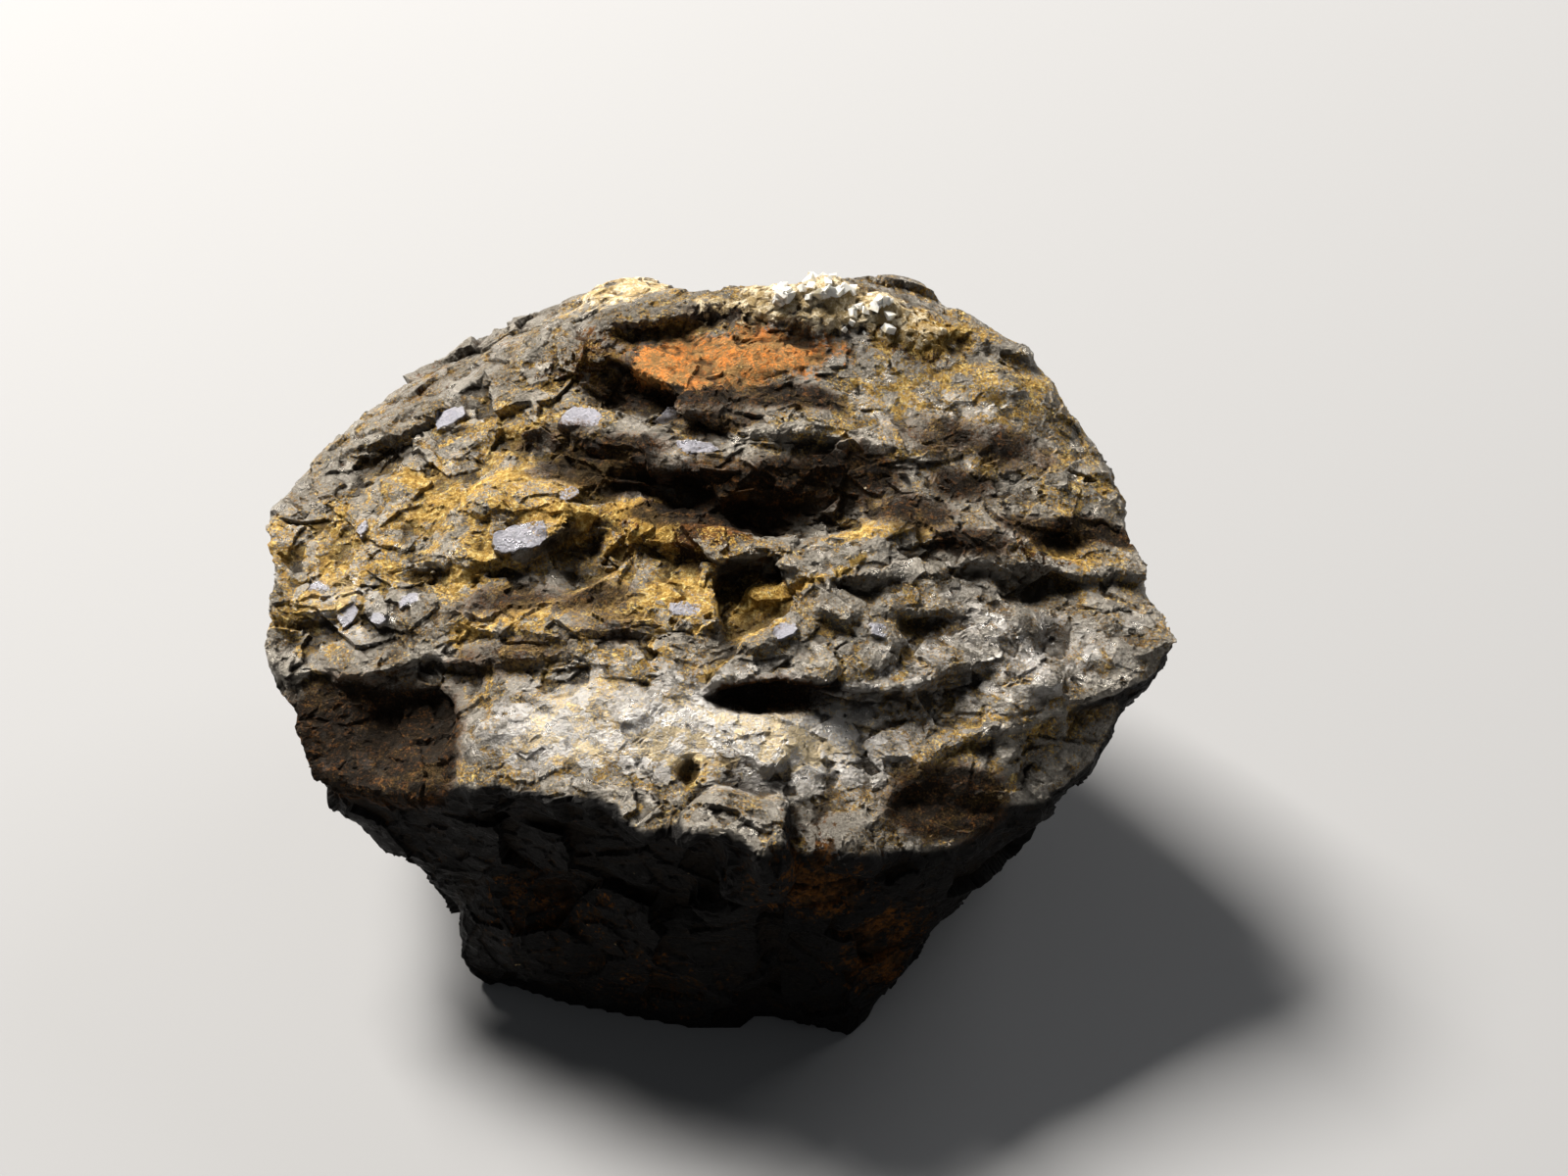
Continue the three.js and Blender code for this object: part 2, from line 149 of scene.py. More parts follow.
def lattice_random(cells: np.ndarray, salt: int) -> np.ndarray:
    """Repeatable random numbers for whole-number grid points.

    Args:
        cells: Grid points, one in each row.
        salt: Which of many independent sets of numbers to give.

    Returns:
        One number from 0 to 1 for each grid point.
    """
    mixed = cells.astype(np.int64).astype(np.uint32)
    value = mixed[:, 0] * np.uint32(0x9E3779B1)
    value ^= mixed[:, 1] * np.uint32(0x85EBCA77)
    value ^= mixed[:, 2] * np.uint32(0xC2B2AE3D)
    value ^= np.uint32((salt * 0x27D4EB2F) & 0xFFFFFFFF)
    for shift, factor in ((15, 0x2C1B3C6D), (12, 0x297A2D39)):
        value ^= value >> np.uint32(shift)
        value *= np.uint32(factor)
    value ^= value >> np.uint32(15)
    return (value / 2.0**32).astype(np.float32)


def smooth_noise(points: np.ndarray, size: float, salt: int) -> np.ndarray:
    """Smooth noise from -1 to 1.

    Args:
        points: Places in millimetres, one in each row.
        size: About how many millimetres one swell is across.
        salt: Which of many independent noises to give.

    Returns:
        The noise at each place.
    """
    scaled = points @ NOISE_TURN / size + salt * 0.37
    base = np.floor(scaled)
    part = (scaled - base).astype(np.float32)
    ease = part * part * (3 - 2 * part)
    total = np.zeros(len(points), np.float32)
    for corner in itertools.product((0, 1), repeat=3):
        share = np.prod(np.where(corner, ease, 1 - ease), axis=1)
        total += share * lattice_random(base + corner, salt)
    return total * 2 - 1


def fractal_noise(points: np.ndarray, size: float, salt: int) -> np.ndarray:
    """Smooth noise with finer noise on it, from about -1 to 1.

    Args:
        points: Places in millimetres, one in each row.
        size: About how many millimetres the largest swell is across.
        salt: Which of many independent noises to give.

    Returns:
        The noise at each place.
    """
    total = np.zeros(len(points), np.float32)
    for octave in range(OCTAVES):
        total += smooth_noise(points, size / 2**octave, salt + 17 * octave) / 2**octave
    return total / OCTAVE_REACH


def plate_relief(
    points: np.ndarray, normals: np.ndarray, kind: "PlateSize"
) -> tuple[np.ndarray, np.ndarray]:
    """Lays flat, straight-edged plates over a surface, each leaning its own way.

    Args:
        points: Places on the surface, one in each row.
        normals: The smooth surface's unit normals there.
        kind: The plates' sizes.

    Returns:
        How high the topmost plate stands at each place, and that plate's own random tone.
    """
    scale = np.array(kind.size, np.float32)
    base = np.floor(points / scale)
    side = unit(np.array([1.0, 0.0, 0.0]) - normals[:, :1] * normals, 1e-3)
    across = np.cross(normals, side)
    height = np.zeros(len(points), np.float32)
    tone = np.full(len(points), 0.5, np.float32)
    for step in itertools.product((-1, 0, 1), repeat=3):
        cell = base + np.array(step, np.float32)
        draw = [lattice_random(cell, kind.salt + number) for number in range(8)]
        seed = (cell + 0.5 + 0.9 * (np.stack(draw[:3], axis=1) - 0.5)) * scale
        offset = (points - seed).astype(np.float32)
        along = dot(offset, normals)
        u = dot(offset, side) / scale[0]
        v = dot(offset, across) / scale[1]
        reach = 0.42 + 0.34 * draw[3]
        turn = 2 * math.pi * draw[4]
        edge = np.full(len(points), -1.0, np.float32)
        for number, faces in enumerate(PLATE_SIDES):
            angle = turn + faces + 0.5 * draw[5 + number % 3]
            bound = reach * (1.15 - 0.35 * draw[(number + 5) % 8])
            edge = np.maximum(edge, (u * np.cos(angle) + v * np.sin(angle)) / bound)
        lean = kind.tilt * ((2 * draw[6] - 1) * u * scale[0] + (2 * draw[7] - 1) * v * scale[1])
        raised = kind.lift * draw[5] + lean
        on_top = (edge < 1) & (np.abs(along) < 0.85 * scale[2]) & (raised > height)
        height[on_top] = raised[on_top]
        tone[on_top] = lattice_random(cell, kind.salt + 9)[on_top]
    return height, tone


def nearest_cells(
    points: np.ndarray, size: tuple[float, float, float], salt: int
) -> tuple[np.ndarray, np.ndarray]:
    """Splits space into irregular cells, each the places nearest to its own random seed.

    Args:
        points: Places, one in each row.
        size: The cells' mean size along each axis.
        salt: Which of many independent splits to give.

    Returns:
        The grid point that names each place's cell, and the way to the place from that cell's seed.
    """
    scale = np.array(size, np.float32)
    scaled = (points / scale).astype(np.float32)
    base = np.floor(scaled)
    nearest = np.full(len(points), np.inf, np.float32)
    names = np.zeros_like(base)
    away = np.zeros_like(scaled)
    for step in itertools.product((-1, 0, 1), repeat=3):
        cell = base + np.array(step, np.float32)
        seed = cell + 0.5
        for axis in range(3):
            seed[:, axis] += 0.84 * (lattice_random(cell, salt + axis) - 0.5)
        offset = scaled - seed
        distance = dot(offset, offset)
        closer = distance < nearest
        nearest[closer] = distance[closer]
        names[closer] = cell[closer]
        away[closer] = offset[closer]
    return names, away * scale


def leaning(names: np.ndarray, away: np.ndarray, salt: int) -> np.ndarray:
    """How high each place stands on its own cell's randomly leaning facet."""
    return sum((2 * lattice_random(names, salt + k) - 1) * away[:, k] for k in range(3))


# --- The stone's own frame ---


@dataclass(frozen=True)
class Sheets:
    """The arched crystal sheets that the stone is made of, in millimetres.

    The sheets rise to a ridge that runs from front to back, and climb gently to the back. The
    broken top climbs faster than they do, and the flanks begin a few millimetres under it.
    """

    ridge_x: float = -2.0
    ridge_z: float = 25.7
    sag_left: float = 0.0088
    sag_right: float = 0.0055
    climb: float = 0.14
    top_climb: float = 0.44
    top_climb_back: float = 0.28
    top_front: float = -6.0
    top_edge: tuple[float, float] = (-3.8, -2.4)

    def sag(self, x: np.ndarray) -> np.ndarray:
        """How far the sheets lie under the ridge's height at x."""
        away = x - self.ridge_x
        return np.where(away < 0, self.sag_left, self.sag_right) * away * away

    def level(self, points: np.ndarray) -> np.ndarray:
        """The height of each place above the sheet through the ridge's reference point."""
        climbed = self.climb * (points[:, 1] - self.top_front)
        return points[:, 2] - self.ridge_z + self.sag(points[:, 0]) - climbed

    def normals(self, points: np.ndarray) -> np.ndarray:
        """The upward unit normal of the sheet at each place."""
        away = points[:, 0] - self.ridge_x
        slope = -2 * np.where(away < 0, self.sag_left, self.sag_right) * away
        parts = [-slope, np.full_like(slope, -self.climb), np.ones_like(slope)]
        return unit(np.stack(parts, axis=1))

    def topness(self, points: np.ndarray) -> np.ndarray:
        """From 0 on the stone's flanks to 1 on its broken top."""
        run = points[:, 1] - self.top_front
        climbed = self.top_climb * np.minimum(run, 0) + self.top_climb_back * np.maximum(run, 0)
        top = self.ridge_z - self.sag(points[:, 0]) + climbed
        return ramp(points[:, 2] - top, *self.top_edge)


# --- Where each mineral lies ---


@dataclass(frozen=True)
class Patch:
    """A soft-edged patch: its middle, its reach along each axis, and its strength."""

    x: float
    y: float
    z: float
    reach_x: float
    reach_y: float
    strength: float = 1.0
    reach_z: float = 3.0

    def weight(self, points: np.ndarray) -> np.ndarray:
        """The patch's share at each place."""
        away = (points - (self.x, self.y, self.z)) / (self.reach_x, self.reach_y, self.reach_z)
        return self.strength * np.exp(-dot(away, away) ** 1.5 * 0.6)


@dataclass(frozen=True)
class Vein:
    """A thin stained crack that runs through a few points."""

    course: tuple[tuple[float, float], ...]
    width: float = 0.4
    strength: float = 1.0

    def weight(self, points: np.ndarray) -> np.ndarray:
        """The vein's share at each place."""
        flat = points[:, :2]
        nearest = np.full(len(points), np.inf)
        for start, end in zip(self.course, self.course[1:]):
            start, along = np.array(start), np.subtract(end, start)
            share = np.clip((flat - start) @ along / (along @ along), 0, 1)
            gap = np.linalg.norm(flat - start - share[:, None] * along, axis=1)
            nearest = np.minimum(nearest, gap)
        return self.strength * np.exp(-((nearest / self.width) ** 2))


@dataclass(frozen=True)
class MineralMap:
    """Where dust, rust and pale grains lie on the stone, and where dark brown painted shade lies."""

    ochre: tuple = each(
        Patch,
        (-10.7, -2.6, 26, 7, 3.6, 0.95), (-17.7, -0.6, 24.5, 6.4, 4, 0.8),
        (-13.4, 2.8, 27.2, 6, 2.2, 0.65), (-5.7, -6.2, 25.6, 3.4, 2.6, 0.85),
        (-8.1, -7.2, 24.9, 3.4, 2, 0.8), (-15.5, -6.5, 23.6, 5, 2.4, 0.7),
        (-12.5, -10.6, 22.4, 5, 1.8, 0.72), (-2.7, -10.2, 24, 4.2, 2.6, 0.9),
        (-5.4, -13, 22.4, 5.4, 1.6, 0.65), (2, -11.2, 23.3, 2.4, 1, 1),
        (2.8, -9.3, 22.4, 2.6, 1.6, 1.4, 1.6), (-24.5, -2.6, 21.7, 5, 3.4, 0.9),
        (-21, -4, 22.6, 5, 3, 0.78), (-24.8, -7, 20.2, 4, 3.4, 0.68),
        (-18, -5, 22.6, 5.4, 3, 0.68), (-6, 3.2, 29.6, 2.8, 1.6, 0.6),
        (11, 3.4, 28.6, 4.2, 2.2, 0.72), (15.4, 0.2, 26.6, 3, 1, 0.66),
        (14, 4.5, 28.8, 9, 4.6, 0.56, 5), (-12, 2, 27, 15, 7, 0.50, 6),
        (1, -7, 25, 8, 4, 0.50, 4), (18.7, 1.7, 26.5, 5.2, 2.4, 0.45),
        (21.7, 0.7, 24.5, 2.6, 1.8, 0.5), (20.6, -4.3, 22.6, 3.2, 0.9, 0.85),
        (9.5, -4.3, 25.4, 4.2, 1.6, 0.7), (-1.9, -19.1, 20, 3, 2, 0.7),
        (4.4, -17.9, 19.6, 5, 2.4, 0.8), (6.4, -14, 21.5, 4.6, 1.6, 0.5),
        (-8.8, -18.4, 19.8, 6, 2.6, 0.52), (-2.5, -17, 20.6, 4.6, 2.4, 0.55),
        (-25, -11.6, 18.3, 2.8, 2, 0.5), (-17.8, -17.4, 17.5, 3.2, 1.4, 0.5),
        (-12, -12.8, 21.6, 7, 1.6, 0.7),
        (8.4, 8, 31.8, 5, 1.6, 0.5), (13, 8, 31, 5, 2, 0.85),
        (-3, 7.6, 31.4, 4, 1.4, 0.7), (24, -11, 19.4, 3.4, 1.6, 0.4),
        (-12, 16, 20, 8, 5, 0.5, 6), (17, 12, 17, 8, 6, 0.5, 6),
        (-28, 2, 14, 4, 6, 0.5, 6),
    ) + (
        Vein(
            ((9.2, -6.7), (7.2, -8.2), (4.4, -9.4), (3.2, -11.2), (0.9, -13.0), (-0.9, -14.5)),
            0.30,
            0.95,
        ),
        Vein(((12.1, -10.8), (10.6, -13.4), (8.5, -16.5)), 0.2, 0.8),
    )
    rust: tuple = each(
        Patch,
        (-1, -4.2, 26.4, 5.6, 3), (-5.8, -4, 26.4, 3.2, 2.4, 0.7),
        (-5.3, -1.2, 27.8, 3.4, 1.8, 0.5), (3, -8.2, 22.6, 2, 1.8, 1, 1.6),
        (19.6, -4.6, 22.4, 3.4, 1.5, 0.7), (-7.3, 6, 30.6, 5, 2.2, 0.6),
        (-2, 3.6, 29.6, 4, 1.4, 0.6), (11.9, 8, 31, 4.2, 2.2, 0.6),
        (4.6, -23.4, 14.8, 4, 3, 0.7, 3.4), (9.6, -22.2, 7.6, 3, 3, 0.75, 4),
        (-11, -21.4, 9, 5.6, 3, 0.42, 3.6), (-4, -23, 4, 5, 3, 0.36, 3.6),
        (-18, 10, 25, 7, 5, 0.35), (-20.6, -12.6, 20.4, 4.4, 1.6, 0.5),
        (-20, 8, 10, 8, 8, 0.55, 8), (6, 16, 14, 9, 6, 0.55, 7),
        (22, 5, 10, 6, 8, 0.55, 7), (-27, -2, 9, 5, 7, 0.5, 7),
        (-6, 15, 5, 7, 6, 0.5, 5),
    )
    red: tuple = each(
        Patch,
        (0.9, 5.3, 30.7, 5.2, 2.1), (-2.8, 5.4, 30.8, 3.2, 2.1, 0.95),
        (4.9, 6, 31.1, 3.2, 1.3, 0.7),
    )
    # Dark brown patches of painted shade over dark rust, in overhangs, on the dark slope, in the
    # recess and in the pocket.
    brown_shade: tuple = each(
        Patch,
        (-8, -0.4, 27.3, 4.4, 1.3, 1.1, 2), (-10.6, 1.5, 27.6, 3, 0.8, 0.6, 2),
        (-6, -1.2, 26.8, 2.6, 1.2, 0.9, 2), (-0.6, -1.8, 26.4, 5, 1.6, 0.8, 1.8),
        (-2.4, -3.6, 25.4, 3.4, 1.5, 0.85, 1.8), (7.6, -1.7, 26.9, 3.2, 1.7, 0.8),
        (4.4, -2.6, 26.8, 3, 1.5, 0.8), (13.6, 1.4, 27.4, 3.4, 1.5, 0.7),
        (18.2, 1.2, 26.6, 3, 1.4, 0.7), (11.6, -3.6, 25.6, 3, 1.3, 0.7),
        (15.2, -1.3, 25.8, 2.6, 1.2, 0.6), (-5.5, 4.6, 28.9, 3.2, 1.3, 0.9),
        (-1, 2.4, 29.6, 3.2, 1.1, 0.9, 2), (3.6, 2.5, 29.3, 3.8, 1, 0.8, 2),
        (-0.3, 0.8, 28.9, 2.8, 0.8, 0.6, 2), (19.7, -3.5, 23.5, 3.6, 0.9, 0.9, 2),
        (23.2, -2.6, 22.4, 2.8, 0.9, 0.9, 2), (15.7, -5.1, 24.1, 2.8, 0.8, 0.7, 2),
        (-7.6, -9.6, 23.4, 3.4, 1.6, 0.55), (-12.2, -8.8, 22.9, 4.2, 1.4, 0.6),
        (-6.6, -11.6, 23.3, 3.4, 1.2, 0.55), (-13.1, -12.3, 21.5, 4.8, 1.2, 0.6),
        (-0.4, 8.6, 32.1, 2.6, 1, 0.6), (-4.6, 6.4, 30.2, 2.2, 1.2, 0.6),
        (-23.1, -14.3, 16.6, 4, 3.2, 1.5, 3), (-19.8, -15.4, 17.2, 4.6, 3.2, 1.5, 2.8),
        (14, -19.8, 16.8, 4.2, 2.4, 0.85, 2), (-3.2, 5.8, 30, 5.4, 1.6, 0.7),
        (1.4, -3.6, 24.9, 3, 1.6, 0.8, 1.6), (3.2, -15.2, 21, 3.4, 1.1, 0.9, 1.2),
        (-11, -8, 23.4, 5.8, 2.4, 0.3),
    )
    pale: tuple = each(
        Patch,
        (3.8, 9.3, 32.7, 2.8, 1.8, 1), (6.9, 9, 32.4, 4.8, 1.8, 0.95),
        (10.6, 8.4, 31.6, 3.6, 1.6, 0.52), (-1, 8.8, 32, 3.2, 1.3, 0.4),
        (-6.4, 13, 29.5, 3.4, 2.8, 0.6),
    )
    clean: tuple = each(
        Patch,
        (-5.4, -17, 20.8, 10.5, 3.8, 0.75), (15.7, -11.8, 20.2, 8.6, 4.6, 0.5),
        (-23.5, -6.6, 20.6, 3.6, 3.2, 0.5), (4.4, -17.6, 20, 7, 3.4, 0.95),
        (17, 2, 27, 5, 4, 0.3),
    )
    calm: tuple = each(
        Patch,
        (-5.4, -17.6, 20.8, 10.5, 3.8, 0.95), (3.6, -17.8, 20, 5, 3, 0.8),
        (16, -11.8, 20.2, 10, 6, 0.62, 4), (24, -9, 19, 5, 6, 0.7, 5),
        (15, 3.5, 28.5, 8, 5, 0.85, 5), (14, -19.8, 16.8, 4.2, 2.6, 0.85, 2.2),
        (6, -12.2, 23, 4.2, 2.6, 0.6), (-12, -2, 26.4, 5.5, 2.4, 0.45),
        (-21, -14.8, 17.2, 4.8, 3.4, 0.75, 2.6),
    )
    grainy: tuple = each(
        Patch,
        (2, 5.4, 30.7, 7.2, 2.2, 0.35, 2.4), (5, 9, 32.4, 8.6, 2.2, 1, 2.4),
        (12.6, 8, 30.8, 4.4, 2.2, 0.9, 2.6), (-4, 8.4, 31.6, 4, 1.8, 0.8, 2.4),
        (6, -23, 13.5, 4, 2.6, 0.9, 4), (9.8, -22, 7.6, 3, 2.6, 0.9, 4),
    )

    def calmness(self, points: np.ndarray) -> np.ndarray:
        """From 0 where the sheets are broken rough to 1 where the surface is smooth."""
        return strongest(self.calm, points)

    def graininess(self, points: np.ndarray) -> np.ndarray:
        """From 0 where the stone is of sheets to 1 where it is of grains."""
        return strongest(self.grainy, points, 1.2)

    def amounts(self, points: np.ndarray) -> dict[Mineral, np.ndarray]:
        """How much of each mineral lies at each place.

        Args:
            points: Places in the drawing frame, in millimetres.

        Returns:
            A number from 0 to 1 for each place, for each mineral.
        """
        wander = 1 + 0.5 * fractal_noise(points, 2.6, 301)
        top = Sheets().topness(points)
        rusting = 0.12 + 0.12 * fractal_noise(points, 7.0, 303)
        layers = {
            Mineral.OCHRE: (self.ochre, (0.40 + 0.18 * fractal_noise(points, 6.0, 302)) * top),
            Mineral.RUST: (self.rust, rusting * (0.5 + 0.5 * top)),
            Mineral.RED: (self.red, 0.0),
            Mineral.BROWN_SHADE: (self.brown_shade, 0.0),
            Mineral.PALE: (self.pale, 0.0),
            Mineral.CLEAN: (self.clean, 0.15 + 0.15 * fractal_noise(points, 4.0, 304)),
        }
        found = {}
        for mineral, (places, ground) in layers.items():
            most = np.zeros(len(points))
            for place in places:
                most = np.maximum(most, place.weight(points) * wander)
            found[mineral] = np.clip(np.maximum(most, ground), 0, 1)
        return found


def paint(mesh: bpy.types.Mesh, amounts: dict[Mineral, np.ndarray]) -> None:
    """Writes the minerals' amounts and the surface's shape into the mesh's colour attributes.

    Args:
        mesh: The mesh to paint.
        amounts: One number for each vertex, for each channel.
    """
    layers: dict[str, np.ndarray] = {}
    for mineral, amount in amounts.items():
        name, channel = mineral.value
        layer = layers.setdefault(name, np.ones((len(mesh.vertices), 4), np.float32))
        layer[:, channel] = amount
    for name, layer in layers.items():
        attribute = mesh.attributes.new(name, "FLOAT_COLOR", "POINT")
        attribute.data.foreach_set("color", layer.ravel())


# --- Finishes ---


class Signal:
    """A number in a node tree that adds, subtracts and multiplies like a plain one."""

    def __init__(self, graph: "Graph", socket: bpy.types.NodeSocket) -> None:
        """Takes the graph to write sums in and the socket that gives the number."""
        self.graph, self.socket = graph, socket

    def __add__(self, other: "Signal | float") -> "Signal":
        """The sum of both."""
        return self.graph.math("ADD", self, other)

    def __sub__(self, other: "Signal | float") -> "Signal":
        """What is left when `other` is taken from this."""
        return self.graph.math("SUBTRACT", self, other)

    def __rsub__(self, other: float) -> "Signal":
        """What is left when this is taken from `other`."""
        return self.graph.math("SUBTRACT", other, self)

    def __mul__(self, other: "Signal | float") -> "Signal":
        """The product of both."""
        return self.graph.math("MULTIPLY", self, other)

    __radd__, __rmul__ = __add__, __mul__

    def clamped(self) -> "Signal":
        """The sum that this came from, kept from 0 to 1."""
        self.socket.node.use_clamp = True
        return self


class Graph:
    """A short way to write a node tree."""

    def __init__(self, tree: bpy.types.NodeTree) -> None:
        """Takes the tree to write in."""
        self.tree = tree

    def node(self, kind: str, settings: dict | None = None, **inputs) -> bpy.types.Node:
        """Adds a node.

        Args:
            kind: The node's type without its ShaderNode prefix.
            settings: Properties of the node itself.
            **inputs: Values or sockets for its inputs, with _ for each space in a name.

        Returns:
            The node.
        """
        node = self.tree.nodes.new(kind if kind.startswith("Node") else "ShaderNode" + kind)
        for name, value in (settings or {}).items():
            setattr(node, name, value)
        for name, value in inputs.items():
            self.feed(node.inputs[name.replace("_", " ")], value)
        return node

    def feed(self, socket: bpy.types.NodeSocket, value) -> None:
        """Links a signal or a socket to an input, or sets the input to a tone or a plain value."""
        value = getattr(value, "socket", value)
        if isinstance(value, bpy.types.NodeSocket):
            self.tree.links.new(value, socket)
        else:
            socket.default_value = (*value.value, 1.0) if isinstance(value, Tone) else value

    def join(self, kind: str, operation: str, first, second, result: str) -> Signal:
        """Adds a node that joins two numbers or vectors by one sum.

        Args:
            kind: The node's type, Math or VectorMath.
            operation: The sum.
            first: Its first number or vector.
            second: Its second one.
            result: The name of the output to give.

        Returns:
            The sum's result.
        """
        node = self.node(kind, {"operation": operation})
        self.feed(node.inputs[0], first)
        self.feed(node.inputs[1], second)
        return Signal(self, node.outputs[result])

    def math(self, operation: str, first, second) -> Signal:
        """Joins two numbers by one sum."""
        return self.join("Math", operation, first, second, "Value")

    def vector_math(self, operation: str, first, second) -> Signal:
        """Joins two vectors by one sum that gives a vector."""
        return self.join("VectorMath", operation, first, second, "Vector")

    def most(self, first, *others) -> Signal:
        """The largest of several numbers."""
        for other in others:
            first = self.math("MAXIMUM", first, other)
        return first

    def blend(self, share, first, second) -> bpy.types.NodeSocket:
        """Mixes two colours and gives the result's socket."""
        node = self.node("Mix", {"data_type": "RGBA"}, Factor=share)
        self.feed(node.inputs[6], first)
        self.feed(node.inputs[7], second)
        return node.outputs[2]

    def noise(self, vector, size: float, detail: float = 3.0, rough: float = 0.6) -> Signal:
        """Noise with swells `size` millimetres across."""
        scale = 1 / (size * MM)
        node = self.node("TexNoise", Vector=vector, Scale=scale, Detail=detail, Roughness=rough)
        return Signal(self, node.outputs["Fac"])

    def channels(self, name: str) -> tuple[Signal, ...]:
        """The three channels of a colour attribute."""
        colour = self.node("Attribute", {"attribute_name": name}).outputs["Color"]
        parts = self.node("SeparateColor", Color=colour).outputs
        return tuple(Signal(self, part) for part in parts)

    def step(self, value, low: float, high: float) -> Signal:
        """A smooth climb from 0 at `low` to 1 at `high`."""
        smooth = {"interpolation_type": "SMOOTHSTEP"}
        node = self.node("MapRange", smooth, Value=value, From_Min=low, From_Max=high)
        return Signal(self, node.outputs["Result"])

    def facets(self, group: bpy.types.NodeTree, place, size: float) -> tuple[Signal, Signal]:
        """The tone and the height of crystal facets about `size` millimetres across."""
        node = self.node("Group", {"node_tree": group}, Vector=place, Size=1 / (size * MM))
        return Signal(self, node.outputs["Tone"]), Signal(self, node.outputs["Height"])

    def stain(
        self,
        group: bpy.types.NodeTree,
        place,
        amount: Signal,
        crevice: Signal,
        pull: float,
        grain: float,
        edge: float,
    ) -> Signal:
        """Spreads one mineral over the stone.

        Args:
            group: The group that spreads dust.
            place: The place's socket.
            amount: How much of the mineral there is.
            crevice: How deep in a crevice a place lies.
            pull: How strongly crevices gather the mineral.
            grain: The size of its grains, in millimetres.
            edge: How grainy its edge is.

        Returns:
            The mineral's mask.
        """
        node = self.node(
            "Group",
            {"node_tree": group},
            Vector=place,
            Amount=amount,
            Crevice=crevice,
            Crevice_Pull=pull,
            Grain=1 / (grain * MM),
            Grain_Pull=edge,
        )
        return Signal(self, node.outputs["Mask"])


def new_group(
    name: str, inputs: dict[str, tuple[str, object]], outputs: tuple[str, ...]
) -> tuple[Graph, dict[str, Signal], dict[str, bpy.types.NodeSocket]]:
    """Starts a shader node group.

    Args:
        name: The group's name.
        inputs: For each input, its socket type and its default, or None.
        outputs: The names of the numbers that it gives.

    Returns:
        The group's graph, what it is given and the sockets that take its results, by name.
    """
    tree = bpy.data.node_groups.new(name, "ShaderNodeTree")
    for label, (kind, default) in inputs.items():
        socket = tree.interface.new_socket(name=label, in_out="INPUT", socket_type=kind)
        if default is not None:
            socket.default_value = default
    for label in outputs:
        tree.interface.new_socket(name=label, in_out="OUTPUT", socket_type="NodeSocketFloat")
    graph = Graph(tree)
    entry, leave = graph.node("NodeGroupInput"), graph.node("NodeGroupOutput")
    given = {socket.name: Signal(graph, socket) for socket in entry.outputs if socket.name}
    return graph, given, {socket.name: socket for socket in leave.inputs if socket.name}


def new_material(name: str) -> tuple[bpy.types.Material, Graph, bpy.types.Node]:
    """Starts a material, and gives it with its graph and its shader."""
    material = bpy.data.materials.new(name)
    material.use_nodes = True
    return material, Graph(material.node_tree), material.node_tree.nodes["Principled BSDF"]


def stain_group() -> bpy.types.NodeTree:
    """A grainy cover of dust or rust that thickens with its amount and in crevices.

    Returns:
        The group, which gives the cover's mask.
    """
    inputs = {
        "Vector": ("NodeSocketVector", None),
        "Amount": ("NodeSocketFloat", 0.5),
        "Crevice": ("NodeSocketFloat", 0.5),
        "Crevice Pull": ("NodeSocketFloat", 0.5),
        "Grain": ("NodeSocketFloat", 2500.0),
        "Grain Pull": ("NodeSocketFloat", 0.8),
    }
    graph, given, out = new_group("mineral_stain", inputs, ("Mask",))
    place, grain = given["Vector"], given["Grain"]
    fine = graph.node("TexNoise", Vector=place, Scale=grain, Detail=3.0, Roughness=0.75)
    grainy = (Signal(graph, fine.outputs["Fac"]) - 0.5) * given["Grain Pull"]
    swell = (graph.noise(place, 1.3, 5.0, 0.7) - 0.5) * 1.1
    gathered = (given["Crevice"] - 0.5) * given["Crevice Pull"]
    graph.feed(out["Mask"], graph.step(given["Amount"] + gathered + swell + grainy, 0.38, 0.60))
    return graph.tree


def crystal_group() -> bpy.types.NodeTree:
    """The flat facets of broken magnetite, each leaning its own way.

    Returns:
        The group, which gives each facet's own tone from 0 to 1, and a height for a bump.
    """
    inputs = {"Vector": ("NodeSocketVector", None), "Size": ("NodeSocketFloat", 2200.0)}
    graph, given, out = new_group("crystal_facets", inputs, ("Tone", "Height"))
    place, middle = given["Vector"], (0.5, 0.5, 0.5)
    warp = graph.node("TexNoise", Vector=place, Scale=1500.0, Detail=2.0).outputs["Color"]
    wander = graph.vector_math("SUBTRACT", warp, middle)
    wander = graph.vector_math("MULTIPLY", wander, (0.6 * MM, 0.6 * MM, 0.6 * MM))
    moved = graph.vector_math("ADD", place, wander)
    flat = graph.vector_math("MULTIPLY", moved, (0.8, 1.0, 1.9))
    cell = graph.node("TexVoronoi", Vector=flat, Scale=given["Size"], Randomness=1.0)
    colour = cell.outputs["Color"]
    graph.feed(out["Tone"], graph.node("SeparateColor", Color=colour).outputs[0])
    away = graph.vector_math("SUBTRACT", flat, cell.outputs["Position"])
    lean = graph.vector_math("SUBTRACT", colour, middle)
    tilt = graph.join("VectorMath", "DOT_PRODUCT", away, lean, "Value")
    graph.feed(out["Height"], tilt * 4000.0)
    return graph.tree


